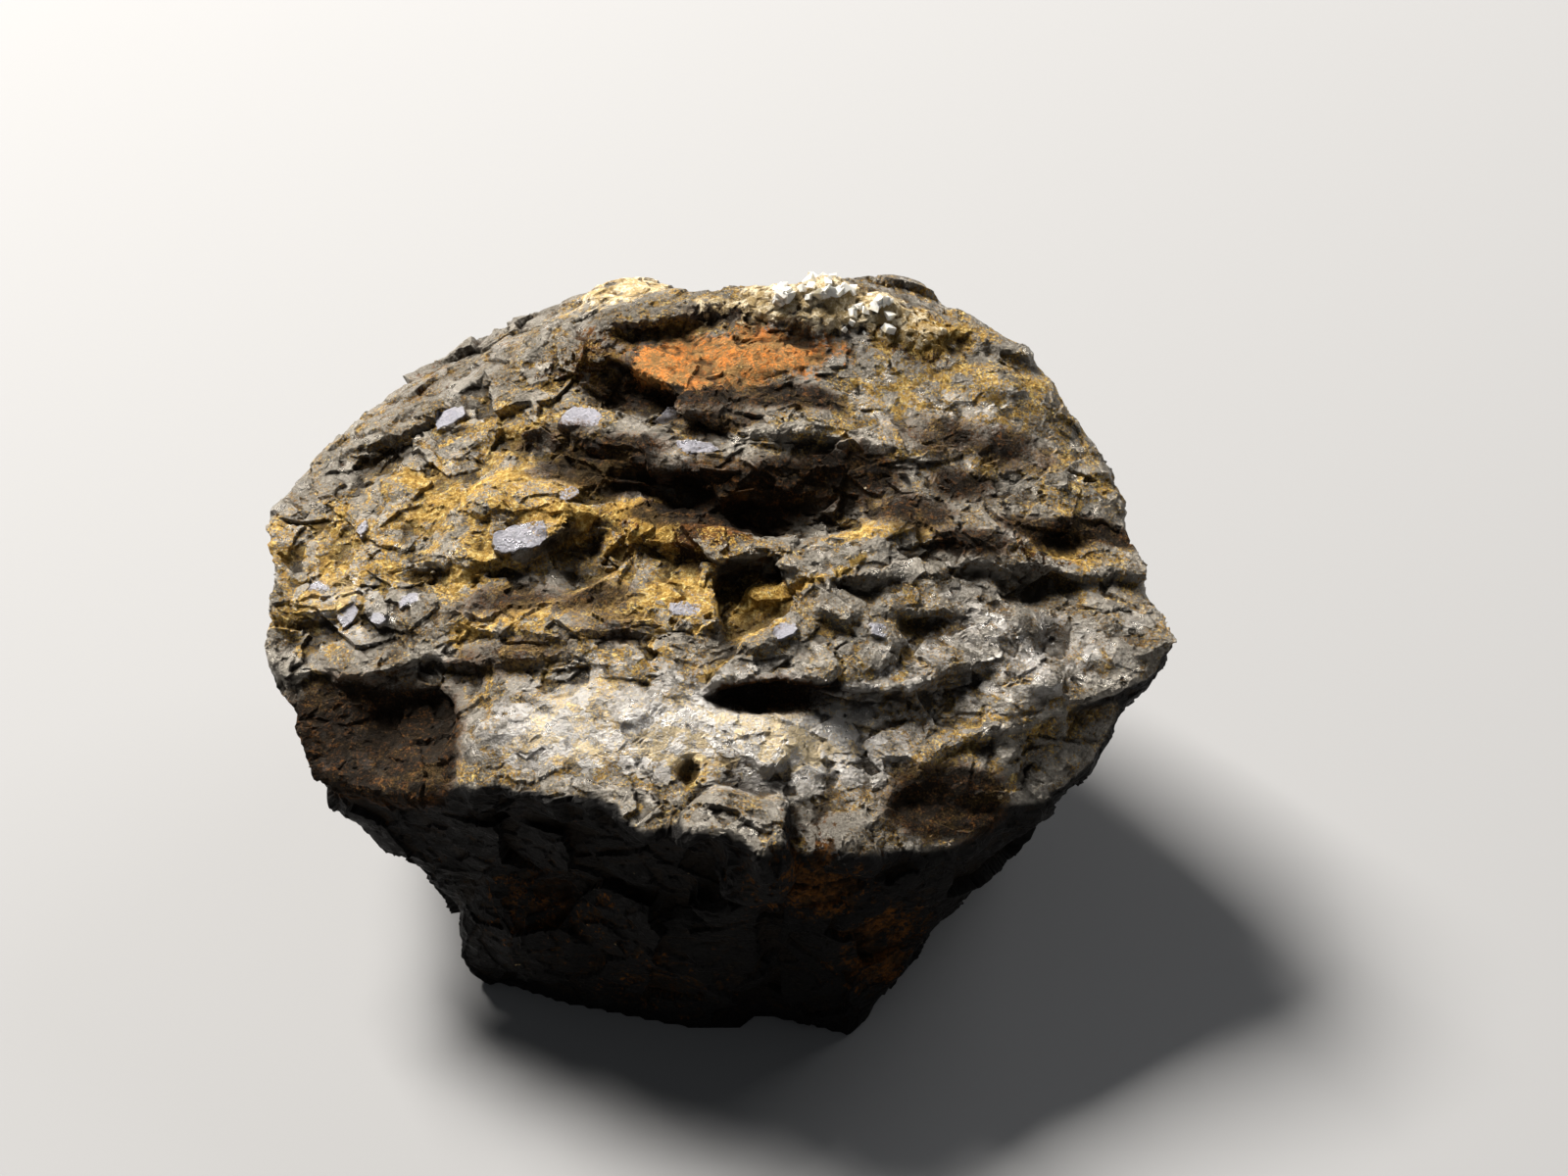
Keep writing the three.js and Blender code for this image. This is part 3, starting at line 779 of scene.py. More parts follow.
@dataclass(frozen=True)
class MagnetiteFinish:
    """Grey-black magnetite with a dull metallic gleam, under limonite dust, rust and pale grains.
    Painted shade darkens its flanks, risers, hollows and crevices.

    The sizes of its facets and the depth of its bump are in millimetres.
    """

    name: str = "foliated_magnetite"
    plate: float = 1.1
    chip: float = 0.42
    bump: float = 0.8
    bump_depth: float = 0.12
    gleam: float = 0.75
    specular: float = 0.18

    def build(self, stain: bpy.types.NodeTree, crystal: bpy.types.NodeTree) -> bpy.types.Material:
        """Makes the material.

        Args:
            stain: The group that spreads dust.
            crystal: The group that makes facets.

        Returns:
            The material.
        """
        material, graph, shader = new_material(self.name)
        blend, step, noise, most = graph.blend, graph.step, graph.noise, graph.most
        place = graph.node("TexCoord").outputs["Object"]
        ochre_amount, rust_amount, red_amount = graph.channels("stains")
        pale_amount, clean_amount, brown_shade_amount = graph.channels("faces")
        top, crevice, hollow = graph.channels("shape")
        flake, chip, grainy = graph.channels("flake")
        polish_amount = graph.channels("polish")[0]
        plate_tone, plate_height = graph.facets(crystal, place, self.plate)
        chip_tone, chip_height = graph.facets(crystal, place, self.chip)
        tone = (plate_tone + chip_tone) * 0.5
        speckle = noise(place, 0.18, 4.0, 0.75) - 0.5
        patchy = noise(place, 0.5, 5.0, 0.8) + speckle * 0.8

        # Where each mineral lies. Some flakes and facets stay bare, as islands in the dust.
        # Dark brown patches of painted shade over dark rust.
        brown_shade = step(brown_shade_amount + speckle * 0.8, 0.26, 0.62)
        polish = step(polish_amount + speckle * 1.2, 0.40, 0.72)
        bare_facet = most(
            step(flake, 0.70, 0.74), step(chip, 0.78, 0.82), step(plate_tone, 0.74, 0.76)
        )
        island = most(bare_facet * 0.28, polish * 0.45)
        dust_amount = (ochre_amount - island).clamped()
        ochre = graph.stain(stain, place, dust_amount, crevice, 0.15, 0.16, 2.2)
        # Dust stays off the flanks and risers that the painted shade darkens.
        ochre = ochre * step(top, 0.2, 0.7)
        rust = graph.stain(stain, place, rust_amount, crevice, 0.35, 0.25, 1.4)
        red = graph.stain(stain, place, red_amount, crevice, 0.10, 0.30, 1.2)
        pale = graph.stain(stain, place, pale_amount, crevice, -0.3, 0.5, 1.0)
        clean = step(clean_amount + tone * 0.5, 0.45, 1.2)
        covered = most(ochre, rust, red, pale, brown_shade)
        # From 1 on the lit broken top to 0 where the flanks, the front and the risers take painted
        # shade.
        lit = step(top, 0.12, 0.62)

        # Bare magnetite: dull on the lit broken top. Painted shade makes it near black on the
        # flanks, the front and the risers.
        gloss = (flake * 0.5 + chip * 0.3 + tone * 0.3 + speckle * 2.2).clamped()
        metal = blend(gloss, Tone.MAGNETITE_DARK, Tone.MAGNETITE)
        metal = blend(clean * 0.8, metal, Tone.MAGNETITE_BRIGHT)
        metal = blend(polish * (1 - brown_shade * 0.7) * 0.7, metal, Tone.POLISHED)
        metal = blend(lit, Tone.FLANK_SHADE, metal)

        # Ochre: golden where it is thick, the colour of soil where it is thin.
        bright = step(patchy, 0.48, 0.74)
        thick = step(ochre_amount + speckle * 0.5, 0.28, 0.50)
        dusty = blend(bright, Tone.OCHRE, Tone.OCHRE_PALE)
        dusty = blend(step(patchy, 0.50, 0.30) * 0.9, dusty, Tone.SOIL)
        dusty = blend(thick, blend(bright, Tone.SOIL, Tone.OLIVE), dusty)
        dusty = blend(step(clean_amount, 0.4, 0.8) * 0.6, dusty, Tone.CREAM)

        # Rust, with painted shade over it in the dark brown patches, then the red stain and the pale
        # crest.
        murky = step(speckle + noise(place, 0.8), 0.35, 0.7)
        # How much of the rust gives way to near black painted shade in the dark brown patches.
        shade_share = brown_shade * (0.97 - step(patchy, 0.50, 0.66) * 0.55)
        rusty = blend(shade_share, blend(murky, Tone.RUST_DARK, Tone.RUST), Tone.HOLLOW_SHADE)
        clotted = step(noise(place, 1.1, 5.0, 0.8) + speckle, 0.42, 0.66)
        reddish = blend(clotted, Tone.RED_BROWN, Tone.RED)
        reddish = blend(step(patchy, 0.60, 0.80) * 0.6, reddish, Tone.OCHRE_PALE)
        sugary = step(noise(place, 0.9, 4.0) + speckle, 0.42, 0.66)
        creamy = blend(sugary, Tone.TAN, Tone.CREAM)

        colour = blend(most(rust, brown_shade), metal, rusty)
        colour = blend(ochre * (0.92 - brown_shade * 0.84), colour, dusty)
        colour = blend(red, colour, reddish)
        colour = blend(pale, colour, creamy)
        # Painted shade in crevices, weaker where dust lies.
        crevice_shade = step(crevice + speckle * 0.8, 0.58, 1.0) * (0.7 - ochre * 0.4)
        colour = blend(crevice_shade, colour, Tone.CREVICE)
        # Painted shade in large hollows.
        colour = blend(step(hollow, 0.52, 0.85) * 0.7, colour, Tone.HOLLOW_SHADE)
        graph.feed(shader.inputs["Base Color"], colour)

        glint = step(chip_tone, 0.86, 0.89)
        rough = 0.56 - gloss * 0.18 - glint * 0.16 + (1 - top) * 0.2 + covered * 0.4
        graph.feed(shader.inputs["Roughness"], rough.clamped())
        graph.feed(shader.inputs["Metallic"], (1 - covered) * lit * self.gleam)
        shader.inputs["Specular IOR Level"].default_value = self.specular

        # Facets in the bump, less of them under powder, and grit.
        powdery = step(clean_amount, 0.5, 0.9) * 0.6
        smooth = most(grainy, powdery, polish * 0.8)
        facets = (plate_height + chip_height) * (1 - smooth * 0.9)
        grit = speckle * (grainy * 3.0 + 1.6)
        depth = self.bump_depth * MM
        bump = graph.node("Bump", Strength=self.bump, Distance=depth, Height=facets + grit)
        graph.feed(shader.inputs["Normal"], bump.outputs["Normal"])
        return material


@dataclass(frozen=True)
class QuartzFinish:
    """Milky, slightly waxy quartz with cream stains."""

    name: str = "milky_quartz"
    roughness: float = 0.32
    milkiness: float = 0.25
    milk_reach: tuple[float, float, float] = (0.0006, 0.0005, 0.0004)

    def build(self) -> bpy.types.Material:
        """Makes the material."""
        material, graph, shader = new_material(self.name)
        place = graph.node("TexCoord").outputs["Object"]
        stain = graph.step(graph.noise(place, 0.9, 4.0), 0.48, 0.68)
        graph.feed(shader.inputs["Base Color"], graph.blend(stain, Tone.QUARTZ, Tone.CREAM))
        shader.inputs["Roughness"].default_value = self.roughness
        shader.inputs["Subsurface Weight"].default_value = self.milkiness
        shader.inputs["Subsurface Radius"].default_value = self.milk_reach
        shader.inputs["Subsurface Scale"].default_value = 1.0
        grit = graph.noise(place, 0.2)
        bump = graph.node("Bump", Strength=0.35, Distance=0.05 * MM, Height=grit)
        graph.feed(shader.inputs["Normal"], bump.outputs["Normal"])
        return material


# --- Pieces ---


def add_object(name: str, data: bpy.types.ID) -> bpy.types.Object:
    """Puts new data into the scene as an object at the origin."""
    made = bpy.data.objects.new(name, data)
    bpy.context.scene.collection.objects.link(made)
    return made


def add_mesh(name: str, shape: bmesh.types.BMesh) -> bpy.types.Object:
    """Puts a finished shape into the scene as a mesh object, and frees the shape."""
    mesh = bpy.data.meshes.new(name)
    shape.to_mesh(mesh)
    shape.free()
    return add_object(name, mesh)


def read_vectors(items: bpy.types.bpy_prop_collection, name: str) -> np.ndarray:
    """One property of each item, which is a vector, as the rows of an array."""
    flat = np.empty(len(items) * 3, np.float32)
    items.foreach_get(name, flat)
    return flat.reshape(-1, 3)


def positions(mesh: bpy.types.Mesh) -> np.ndarray:
    """The mesh's vertices in the drawing frame, in millimetres."""
    return read_vectors(mesh.vertices, "co") / MM - DRAWING_ORIGIN.astype(np.float32)


def vertex_normals(mesh: bpy.types.Mesh) -> np.ndarray:
    """The mesh's outward unit normal at each vertex."""
    return read_vectors(mesh.vertex_normals, "vector")


def triangle_count(mesh: bpy.types.Mesh) -> int:
    """How many triangles the mesh's faces make."""
    return sum(len(face.vertices) - 2 for face in mesh.polygons)


def free_of_floor(points: np.ndarray) -> np.ndarray:
    """From 0 at the flat underside to 1 where the surface is free to move."""
    return ramp(points[:, 2], *FLOOR_BAND)


def move_to(mesh: bpy.types.Mesh, points: np.ndarray) -> None:
    """Puts the mesh's vertices at places of the drawing frame."""
    mesh.vertices.foreach_set("co", ((points + DRAWING_ORIGIN) * MM).astype(np.float32).ravel())
    mesh.update()


def with_modifier(piece: bpy.types.Object, kind: str, **settings) -> None:
    """Applies one modifier to a piece.

    Args:
        piece: The piece to change.
        kind: The modifier's type.
        **settings: The modifier's properties.
    """
    modifier = piece.modifiers.new(kind.lower(), kind)
    for name, value in settings.items():
        setattr(modifier, name, value)
    evaluated = piece.evaluated_get(bpy.context.evaluated_depsgraph_get())
    mesh = bpy.data.meshes.new_from_object(evaluated)
    piece.modifiers.clear()
    piece.data = mesh


def blurred(mesh: bpy.types.Mesh, points: np.ndarray, rounds: int) -> np.ndarray:
    """The mesh's vertices after each has moved again and again to its neighbours' middle."""
    ends = np.empty(len(mesh.edges) * 2, np.int32)
    mesh.edges.foreach_get("vertices", ends)
    first, second = ends.reshape(-1, 2).T
    count = len(points)
    shared = np.bincount(first, minlength=count) + np.bincount(second, minlength=count)
    result = points.astype(np.float64)
    for _ in range(rounds):
        total = np.empty_like(result)
        for axis in range(3):
            total[:, axis] = np.bincount(first, result[second, axis], count)
            total[:, axis] += np.bincount(second, result[first, axis], count)
        result = 0.5 * result + 0.5 * total / np.maximum(shared, 1)[:, None]
    return result


@dataclass(frozen=True)
class Push:
    """A soft push on the surface round a place: where, how far it reaches, and its move."""

    place: tuple[float, float, float]
    reach: tuple[float, float, float]
    move: tuple[float, float, float]

    def apply(self, points: np.ndarray) -> np.ndarray:
        """The move at each place, in millimetres."""
        away = (points - self.place) / self.reach
        return np.exp(-dot(away, away))[:, None] * np.array(self.move)


@dataclass(frozen=True)
class PlateSize:
    """One size of crystal plate, in millimetres.

    A plate stands up to `lift` over the surface, and its face slopes by up to `tilt`. Where the
    stone is calm, `calmed` of that is gone.
    """

    size: tuple[float, float, float]
    lift: float
    tilt: float
    calmed: float
    salt: int


@dataclass(frozen=True)
class CleanFlake:
    """One large flat flake, bare of dust, in millimetres.

    It has a middle, half a length, half a width and a turn in degrees. It takes in the surface
    within `reach` of its plane, and stands `lift` over the surface's `level`th percentile.
    """

    x: float
    y: float
    z: float
    length: float
    width: float
    turn: float = 0.0
    reach: float = 1.5
    lift: float = 0.10
    level: float = 65.0

    def flatten(self, points: np.ndarray, outward: np.ndarray) -> tuple[np.ndarray, np.ndarray]:
        """Flattens the surface inside the flake's outline to one plane.

        Args:
            points: The surface's vertices.
            outward: The smooth surface's unit normals there.

        Returns:
            Which vertices lie on the flake, and their new places.
        """
        away = points - (self.x, self.y, self.z)
        close = dot(away, away) < (self.length + self.reach) ** 2
        up = outward[close].mean(axis=0)
        up /= np.linalg.norm(up)
        turn = math.radians(self.turn)
        side = np.cross(up, (-math.sin(turn), math.cos(turn), 0.0))
        side /= np.linalg.norm(side)
        u = away @ side / self.length
        v = away @ np.cross(up, side) / self.width
        bound = np.full(len(points), -1.0)
        for number in range(FLAKE_SIDES):
            # The flake's own turn, x and y only make its outline unlike the others'.
            angle = self.turn + 0.9 * number + 0.3 * math.sin(3.7 * number + self.x)
            inset = 0.86 + 0.14 * math.sin(5.1 * number + self.y)
            bound = np.maximum(bound, (u * math.cos(angle) + v * math.sin(angle)) / inset)
        height = away @ up
        inside = close & (bound < 1) & (np.abs(height) < self.reach)
        if not inside.any():
            return inside, points[inside]
        plane = np.percentile(height[inside], self.level) + self.lift
        return inside, points[inside] + (plane - height[inside])[:, None] * up


@dataclass
class StoneSkin:
    """The whole stone with the fine relief of its broken crystal sheets.

    Sizes are in millimetres. A blur's rounds say how often each vertex moves towards its
    neighbours' middle. The rim's teeth keep to a band of heights at the front. Painted shade makes
    the front flank near black, and the back is spared most of it.
    """

    sheets: Sheets = Sheets()
    minerals: MineralMap = MineralMap()
    coarse_voxel: float = 0.3
    voxel: float = 0.15
    triangles: int = 196000
    weathering: float = 0.8
    weathering_rounds: int = 40
    facing_rounds: int = 24
    crevice_rounds: int = 6
    crevice_depth: float = 0.16
    hollow_rounds: int = 70
    hollow_depth: float = 0.8
    plates: tuple[PlateSize, ...] = each(
        PlateSize,
        ((4.4, 3.2, 3.0), 0.34, 0.08, 0.95, 50),
        ((2.1, 1.6, 1.6), 0.17, 0.11, 0.75, 110),
        ((1.0, 0.8, 0.8), 0.07, 0.12, 0.45, 170),
    )
    seam: float = 0.3
    seam_step: float = 0.10
    seam_noise_gap: float = 9.7
    rim_height: float = 17.6
    rim_band: float = 1.8
    rim_front: tuple[float, float] = (14.0, 18.0)
    shaded_front: tuple[float, float] = (16.5, 19.5)
    unshaded_back: tuple[float, float] = (-14.0, -4.0)
    sharp_angle: float = 20.0
    pushes: tuple[Push, ...] = each(
        Push,
        ((19.5, 6.0, 27.0), (6.0, 5.0, 6.0), (0.3, 0.3, 0.3)),
        ((-28.5, -2.0, 20.5), (3.0, 6.0, 5.0), (0.7, 0.0, 0.0)),
        ((2.8, -8.2, 22.4), (2.0, 1.9, 1.8), (0.0, 0.0, 1.1)),
        ((-9.8, -6.4, 23.8), (3.6, 1.8, 1.6), (0.0, -0.9, 0.4)),
        ((-21.0, -15.4, 16.8), (3.6, 3.0, 2.2), (0.4, 1.4, -0.3)),
    )
    crisp: tuple[Patch, ...] = each(
        Patch,
        (2, -9.2, 24.4, 3.6, 3.2), (4.6, -13.6, 22, 6.4, 3.6),
        (1.2, -23.4, 14.8, 4.4, 3.6, 1, 6), (8, -22.4, 12, 4.4, 3.6, 1, 6),
        (-4.7, 3.2, 28.8, 5, 2.6, 0.8), (-8, -22.4, 15, 12, 3.6, 0.8, 4),
        (-6, -20.8, 18.6, 13, 2.6, 1, 2.4), (-20.6, -15.8, 18.6, 6.4, 4.6, 1, 4),
        (-11.5, -9, 23.6, 6, 4, 0.6, 4), (14, -19.8, 16.8, 5.4, 3.8, 0.9, 4),
    )
    back_edge: Patch = Patch(-16.0, 12.5, 25.0, 10.0, 5.0, 1.0, 4.0)
    clean_flakes: tuple[CleanFlake, ...] = each(
        CleanFlake,
        (-17.4, 4.6, 26, 1.2, 0.8, 20), (-8.7, 2.3, 28.1, 1.5, 0.8, 0),
        (-12.3, -5.2, 24.8, 1.9, 1, 15), (-9.4, -2.4, 26.2, 0.8, 0.5, 30),
        (-21.4, -8.3, 21.1, 0.6, 0.45, -30), (-19.2, -7.4, 21.8, 0.8, 0.5, 10),
        (-23.1, -7.3, 20, 0.9, 0.6, 45), (-25.2, -5.6, 21, 0.7, 0.5, -20),
        (-22.6, -2.2, 22.8, 0.6, 0.4, 70), (3.8, -12.1, 23.2, 0.9, 0.6, 30),
        (-1.4, -0.3, 27.9, 1.4, 0.5, -10), (-3.5, 2.6, 28.4, 1.3, 0.5, 15),
        (-2.2, -10.6, 23.8, 1, 0.6, 5), (9.4, -11.4, 22.9, 0.7, 0.5, -15),
    )

    def build(self, material: bpy.types.Material) -> bpy.types.Object:
        """Makes the stone.

        Args:
            material: Its finish.

        Returns:
            The finished piece, in place.
        """
        stone = self.copy_of_solid()
        with_modifier(stone, "REMESH", mode="VOXEL", voxel_size=self.coarse_voxel * MM)
        self.weather(stone)
        with_modifier(stone, "REMESH", mode="VOXEL", voxel_size=self.voxel * MM)
        self.break_surface(stone.data)
        share = self.triangles / triangle_count(stone.data)
        if share < 1:
            with_modifier(stone, "TRIANGULATE")
            with_modifier(stone, "DECIMATE", ratio=share)
        self.dress(stone.data, material)
        return stone

    def copy_of_solid(self) -> bpy.types.Object:
        """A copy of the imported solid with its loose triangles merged."""
        solid = bmesh.new()
        solid.from_mesh(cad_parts[NODE].data)
        bmesh.ops.remove_doubles(solid, verts=solid.verts, dist=1e-6)
        return add_mesh("stone_skin", solid)

    def weather(self, stone: bpy.types.Object) -> None:
        """Softens the ledges away from the crisp places, and corrects the large forms."""
        points = positions(stone.data)
        soft = blurred(stone.data, points, self.weathering_rounds)
        kept = strongest(self.crisp, points, 1.3)
        free = free_of_floor(points)
        moved = points + (self.weathering * free * (1 - kept))[:, None] * (soft - points)
        for push in self.pushes:
            moved += free[:, None] * push.apply(points)
        moved[:, 2] = np.maximum(moved[:, 2], 0.0)
        move_to(stone.data, moved)

    def warp(self, points: np.ndarray) -> np.ndarray:
        """A gentle wander that keeps the ledges from running straight."""
        wide = np.stack([smooth_noise(points, 6.5, 31 + k) for k in range(3)], axis=1)
        close = np.stack([smooth_noise(points, 2.6, 35 + k) for k in range(3)], axis=1)
        moved = wide * (0.4, 0.6, 0.5) + close * (0.2, 0.35, 0.2)
        moved[:, 1] += self.rim_teeth(points)
        return moved

    def rim_teeth(self, points: np.ndarray) -> np.ndarray:
        """How far the teeth of the front rim move each place back."""
        across = points * (1.0, 0.0, 0.25)
        teeth = 0.9 * smooth_noise(across, 2.2, 41) + 0.6 * smooth_noise(across, 0.9, 42)
        height = (points[:, 2] - self.rim_height) / self.rim_band
        return teeth * np.exp(-height * height) * ramp(-points[:, 1], *self.rim_front)

    def break_surface(self, mesh: bpy.types.Mesh) -> None:
        """Moves the mesh's vertices to give it the relief of broken sheets."""
        points, outward = positions(mesh), vertex_normals(mesh)
        top = self.sheets.topness(points)
        free = free_of_floor(points)
        calm = self.minerals.calmness(points)
        wander = free * (0.25 + 0.75 * top) * (1 - 0.6 * calm)
        points = points + wander[:, None] * self.warp(points)
        outward = unit(blurred(mesh, outward, self.facing_rounds))
        grainy = self.minerals.graininess(points)
        rough = free * (0.4 + 0.6 * top) * (1 - 0.75 * grainy)

        lift, tones = np.zeros(len(points)), []
        for kind in self.plates:
            height, tone = plate_relief(points, outward, kind)
            lift += (height - 0.5 * kind.lift) * (1 - kind.calmed * calm)
            tones.append(tone)
        paint(mesh, {Mineral.FLAKE: tones[1], Mineral.CHIP: tones[2], Mineral.GRAIN: grainy})
        moved = points + (rough * lift)[:, None] * outward
        moved += self.seam_relief(points, outward, rough)
        moved += (free * self.outward_relief(points, top, grainy))[:, None] * outward
        polish = np.zeros(len(points))
        for flake in self.clean_flakes:
            inside, flat = flake.flatten(moved, outward)
            moved[inside] = flat
            polish[inside] = 1
        paint(mesh, {Mineral.POLISH: polish})
        moved[:, 2] = np.maximum(moved[:, 2], 0.0)
        move_to(mesh, moved)

    def seam_relief(
        self, points: np.ndarray, outward: np.ndarray, rough: np.ndarray
    ) -> np.ndarray:
        """Sets the edges of the thin sheets back or forward where they come to the surface.

        Args:
            points: Places in the drawing frame.
            outward: The smooth surface's unit normals there.
            rough: How rough the surface is there, from 0 to 1.

        Returns:
            How each place moves, in millimetres.
        """
        up = self.sheets.normals(points)
        facing = dot(outward, up)
        level = self.sheets.level(points) + 0.12 * smooth_noise(points, 1.6, 71)
        layer = np.floor(level / self.seam) * self.seam_noise_gap
        in_layer = np.stack([points[:, 0], points[:, 1], layer], axis=1)
        recess = smooth_noise(in_layer, 1.7, 72) + 0.6 * smooth_noise(in_layer, 0.6, 73)
        sideways = unit(outward - facing[:, None] * up)
        steep = 1 - ramp(facing, 0.35, 0.85)
        return (self.seam_step * recess * steep * rough)[:, None] * sideways

    def outward_relief(self, points: np.ndarray, top: np.ndarray, grainy: np.ndarray) -> np.ndarray:
        """The relief that stands straight out of the surface: grains, fracture facets and pits.

        Args:
            points: Places in the drawing frame.
            top: From 0 on the flanks to 1 on the broken top.
            grainy: From 0 where the stone is of sheets to 1 where it is of grains.

        Returns:
            How far each place moves out, in millimetres.
        """
        wandered = points + 0.15 * smooth_noise(points, 0.5, 80)[:, None]
        names, away = nearest_cells(wandered, (0.6, 0.6, 0.5), 81)
        grains = 0.04 - 0.3 * dot(away, away) + 0.09 * lattice_random(names, 79)
        grains += 0.28 * leaning(names, away, 76)
        grains += 0.30 * fractal_noise(points, 1.8, 78)
        wandered = points + 0.5 * smooth_noise(points, 2.0, 82)[:, None]
        facets = 0.22 * leaning(*nearest_cells(wandered, (4.2, 4.2, 3.4), 83), 87)
        facets += 0.14 * leaning(*nearest_cells(points, (1.5, 1.5, 1.1), 91), 95)
        fine = 0.02 * fractal_noise(points, 0.6, 75)
        swells = 0.10 * top * fractal_noise(points, 2.4, 74)
        return grainy * grains + (1 - top) * facets + fine + swells

    def depth_under(self, mesh: bpy.types.Mesh, rounds: int) -> np.ndarray:
        """How far each vertex lies under the surface blurred by so many rounds."""
        points = positions(mesh)
        return dot(blurred(mesh, points, rounds) - points, vertex_normals(mesh))

    def lit_top(self, mesh: bpy.types.Mesh) -> np.ndarray:
        """From 0 where painted shade darkens the flanks, the front and the risers, to 1 on the lit
        broken top.
        """
        points = positions(mesh)
        smooth = blurred(mesh, vertex_normals(mesh), self.facing_rounds)
        facing = dot(smooth, self.sheets.normals(points)) / np.linalg.norm(smooth, axis=1)
        # Painted shade: darker still towards the front.
        facing -= 0.3 * ramp(-points[:, 1], *self.shaded_front)
        # Painted shade on the flanks and on risers that face away from the sheets.
        top = self.sheets.topness(points) * (0.1 + 0.9 * ramp(facing, 0.3, 0.65))
        # The back edge and the back are spared most of the painted shade.
        top = np.maximum(top, 0.8 * strongest((self.back_edge,), points, 1.6))
        back_unshaded = 0.40 + 0.12 * fractal_noise(points, 7.0, 311)
        return np.maximum(top, back_unshaded * ramp(points[:, 1], *self.unshaded_back))

    def dress(self, mesh: bpy.types.Mesh, material: bpy.types.Material) -> None:
        """Paints the minerals and the masks of painted shade on the finished mesh, and gives it its
        material.
        """
        crevice = self.depth_under(mesh, self.crevice_rounds) / self.crevice_depth
        hollow = self.depth_under(mesh, self.hollow_rounds) / self.hollow_depth
        amounts = self.minerals.amounts(positions(mesh))
        amounts[Mineral.LIT_TOP] = self.lit_top(mesh)
        amounts[Mineral.CREVICE] = np.clip(0.5 + crevice, 0, 1)
        amounts[Mineral.HOLLOW_SHADE] = np.clip(0.5 + hollow, 0, 1)
        paint(mesh, amounts)
        mesh.materials.clear()
        mesh.materials.append(material)
        mesh.shade_smooth()
        mesh.set_sharp_from_angle(angle=math.radians(self.sharp_angle))


@dataclass
class QuartzGrains:
    """Pale grains of quartz that stand in the stone's crest. Sizes are in millimetres.

    Each spot has a middle, a reach and a number of grains. A grain is a block with sides of
    `block` times its size.
    """

    spots: tuple[tuple[float, float, float, float, int], ...] = (
        (3.7, 9.0, 33.2, 0.8, 16),
        (6.4, 9.4, 33.3, 1.5, 16),
        (9.8, 8.8, 32.2, 1.1, 10),
        (7.4, 8.2, 32.4, 2.4, 8),
    )
    smallest: float = 0.18
    largest: float = 0.48
    block: float = 1.5
    seed: int = 7

    def build(self, stone: bpy.types.Object, material: bpy.types.Material) -> bpy.types.Object:
        """Makes the grains.

        Args:
            stone: The stone that the grains sit in.
            material: Their finish.

        Returns:
            All the grains as one finished piece, in place.
        """
        draw = np.random.default_rng(self.seed)
        grains = bmesh.new()
        for x, y, z, reach, count in self.spots:
            for _ in range(count):
                near = np.array([x, y, z]) + draw.normal(0, reach * 0.5, 3) + DRAWING_ORIGIN
                place = stone.closest_point_on_mesh(Vector((near * MM).tolist()))[1]
                self.add_grain(grains, draw, place)
        piece = add_mesh("quartz_grains", grains)
        piece.data.materials.append(material)
        return piece

    def add_grain(
        self, grains: bmesh.types.BMesh, draw: np.random.Generator, place: Vector
    ) -> None:
        """Adds one jittered block at a place, turned at random.

        Args:
            grains: The shape to add it to.
            draw: Where the random numbers come from.
            place: Where the block's middle goes, in metres.
        """
        size = draw.uniform(self.smallest, self.largest)
        shape = draw.uniform(0.75, 1.25, 3)
        angle = draw.uniform(0, 6.28)
        axis = Vector(draw.normal(size=3).tolist()).normalized()
        grow = Matrix.Diagonal(Vector((shape * size * MM).tolist()).to_4d())
        grow[3][3] = 1.0
        where = Matrix.Translation(place) @ Matrix.Rotation(angle, 4, axis) @ grow
        made = bmesh.ops.create_cube(grains, size=self.block, matrix=where)
        for vertex in made["verts"]:
            vertex.co = place + (vertex.co - place) * draw.uniform(0.6, 1.15)


# --- The studio ---


@dataclass(frozen=True)
class SoftBox:
    """A square area light, with lengths in metres and power in watts."""

    name: str
    place: tuple[float, float, float]
    side: float
    power: float
    colour: tuple[float, float, float] = (1.0, 1.0, 1.0)
    target: tuple[float, float, float] = (0.0, 0.0, 0.015)

    def build(self) -> None:
        """Hangs the light."""
        light = bpy.data.lights.new(self.name, "AREA")
        light.size = self.side
        light.energy = self.power
        light.color = self.colour
        holder = add_object(self.name, light)
        holder.location = self.place
        aim = Vector(self.target) - Vector(self.place)
        holder.rotation_euler = aim.to_track_quat("-Z", "Y").to_euler()


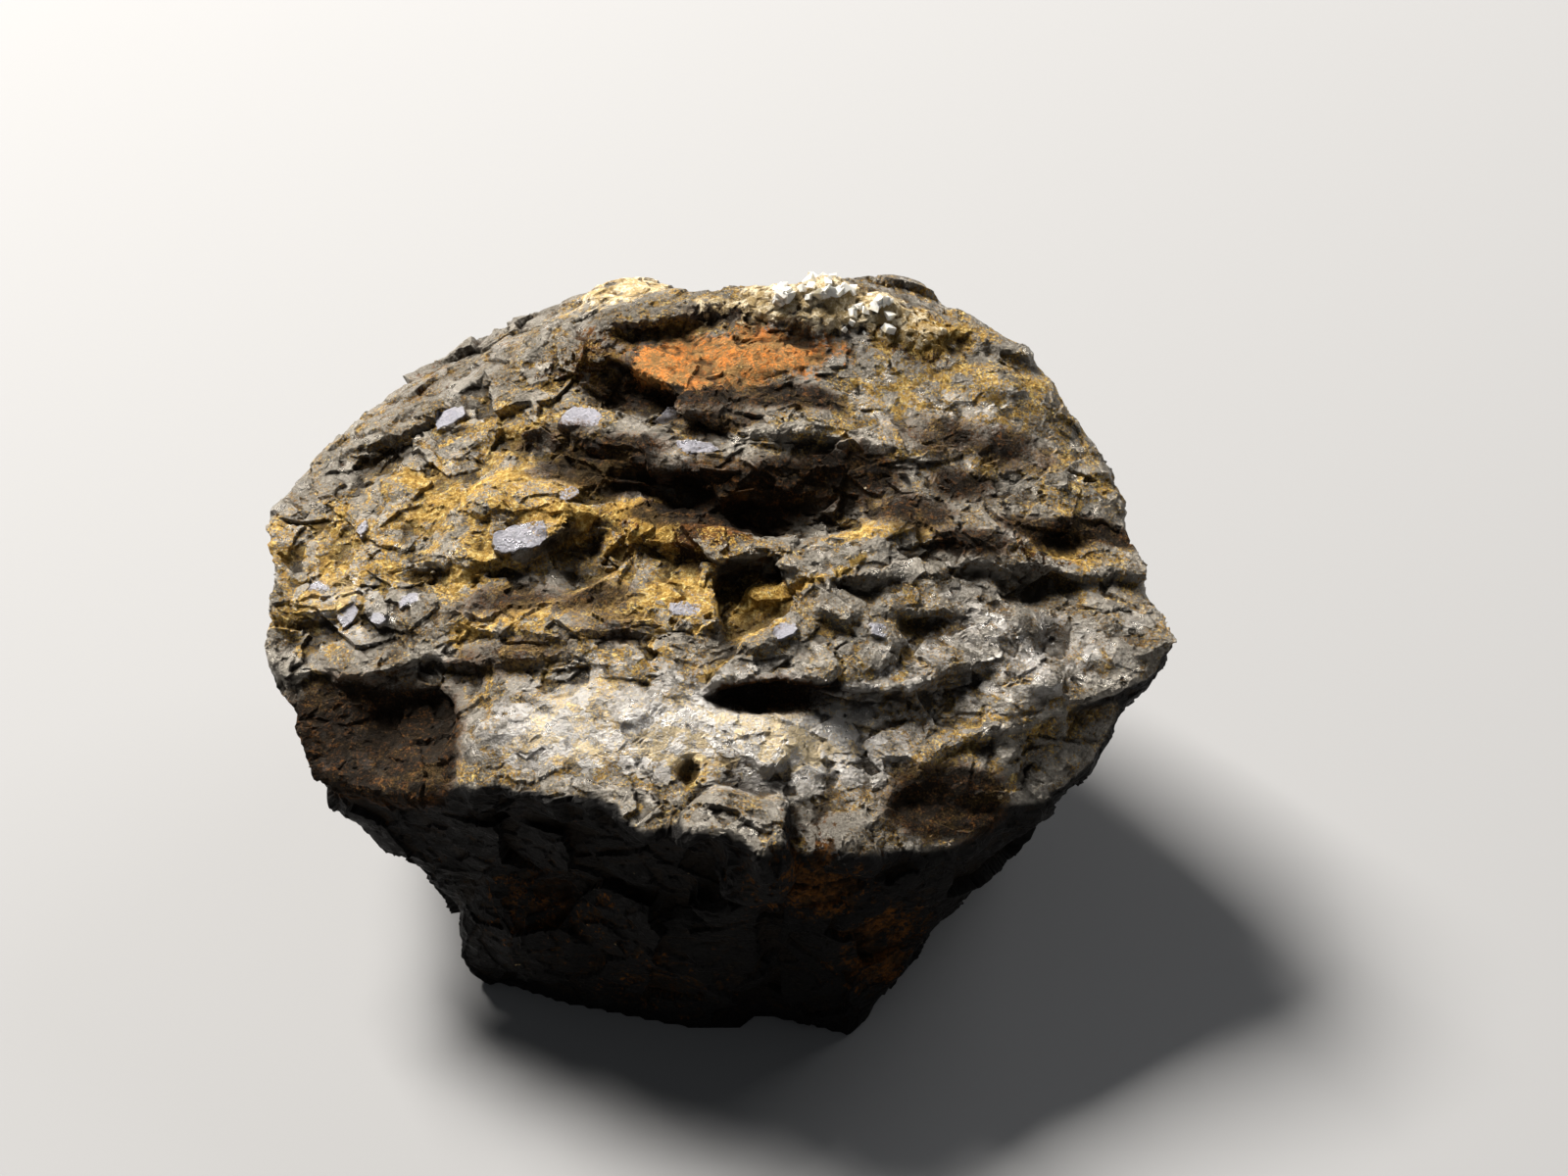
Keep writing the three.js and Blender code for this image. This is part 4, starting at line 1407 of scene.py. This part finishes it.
@dataclass
class Studio:
    """The plain pale floor, the soft lights and the camera, in metres and degrees.

    The lens is in millimetres.
    """

    elevation: float = 42.0
    distance: float = 0.170
    target: tuple[float, float, float] = (0.00452, 0.00412, 0.016)
    lens: float = 60.0
    floor_side: float = 6.0
    floor_colour: tuple[float, float, float] = (0.33, 0.33, 0.335)
    lights: tuple[SoftBox, ...] = (
        SoftBox("key", (-0.34, 0.42, 0.58), 0.26, 18.0, (1.0, 0.965, 0.91)),
        SoftBox("rim", (0.50, 0.45, 0.40), 0.40, 1.6),
        SoftBox("fill", (0.10, -0.65, 0.60), 0.80, 0.2, (0.95, 0.97, 1.0)),
    )
    sky: float = 0.06
    sky_colour: tuple[float, float, float] = (0.9, 0.95, 1.0)

    def build(self) -> None:
        """Makes the floor, lights and camera."""
        ground = bmesh.new()
        bmesh.ops.create_grid(ground, x_segments=1, y_segments=1, size=self.floor_side / 2)
        floor = add_mesh("floor", ground)
        paper, _, shader = new_material("pale_floor")
        shader.inputs["Base Color"].default_value = (*self.floor_colour, 1.0)
        shader.inputs["Roughness"].default_value = 0.85
        shader.inputs["Specular IOR Level"].default_value = 0.2
        floor.data.materials.append(paper)
        for light in self.lights:
            light.build()
        world = bpy.data.worlds.new("studio")
        world.use_nodes = True
        sky = world.node_tree.nodes["Background"].inputs
        sky["Color"].default_value = (*self.sky_colour, 1.0)
        sky["Strength"].default_value = self.sky
        bpy.context.scene.world = world
        self.aim_camera()

    def aim_camera(self) -> None:
        """Points the camera down at the stone from the front."""
        tilt = math.radians(self.elevation)
        back = Vector((0, -math.cos(tilt), math.sin(tilt)))
        camera = bpy.data.cameras.new("camera")
        camera.lens = self.lens
        camera.sensor_width = 36.0
        camera.clip_start = 0.005
        holder = add_object("camera", camera)
        holder.location = Vector(self.target) + back * self.distance
        holder.rotation_euler = (-back).to_track_quat("-Z", "Y").to_euler()
        bpy.context.scene.camera = holder
        bpy.context.scene.view_settings.view_transform = "Standard"


def main() -> None:
    """Builds every piece of the stone, then the studio around it."""
    stone = StoneSkin().build(MagnetiteFinish().build(stain_group(), crystal_group()))
    grains = QuartzGrains().build(stone, QuartzFinish().build())
    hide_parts(NODE)
    for piece in (stone, grains):
        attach(piece, "root")
        log.info("%s: %d triangles", piece.name, triangle_count(piece.data))
    Studio().build()


if __name__ == "__main__":
    main()
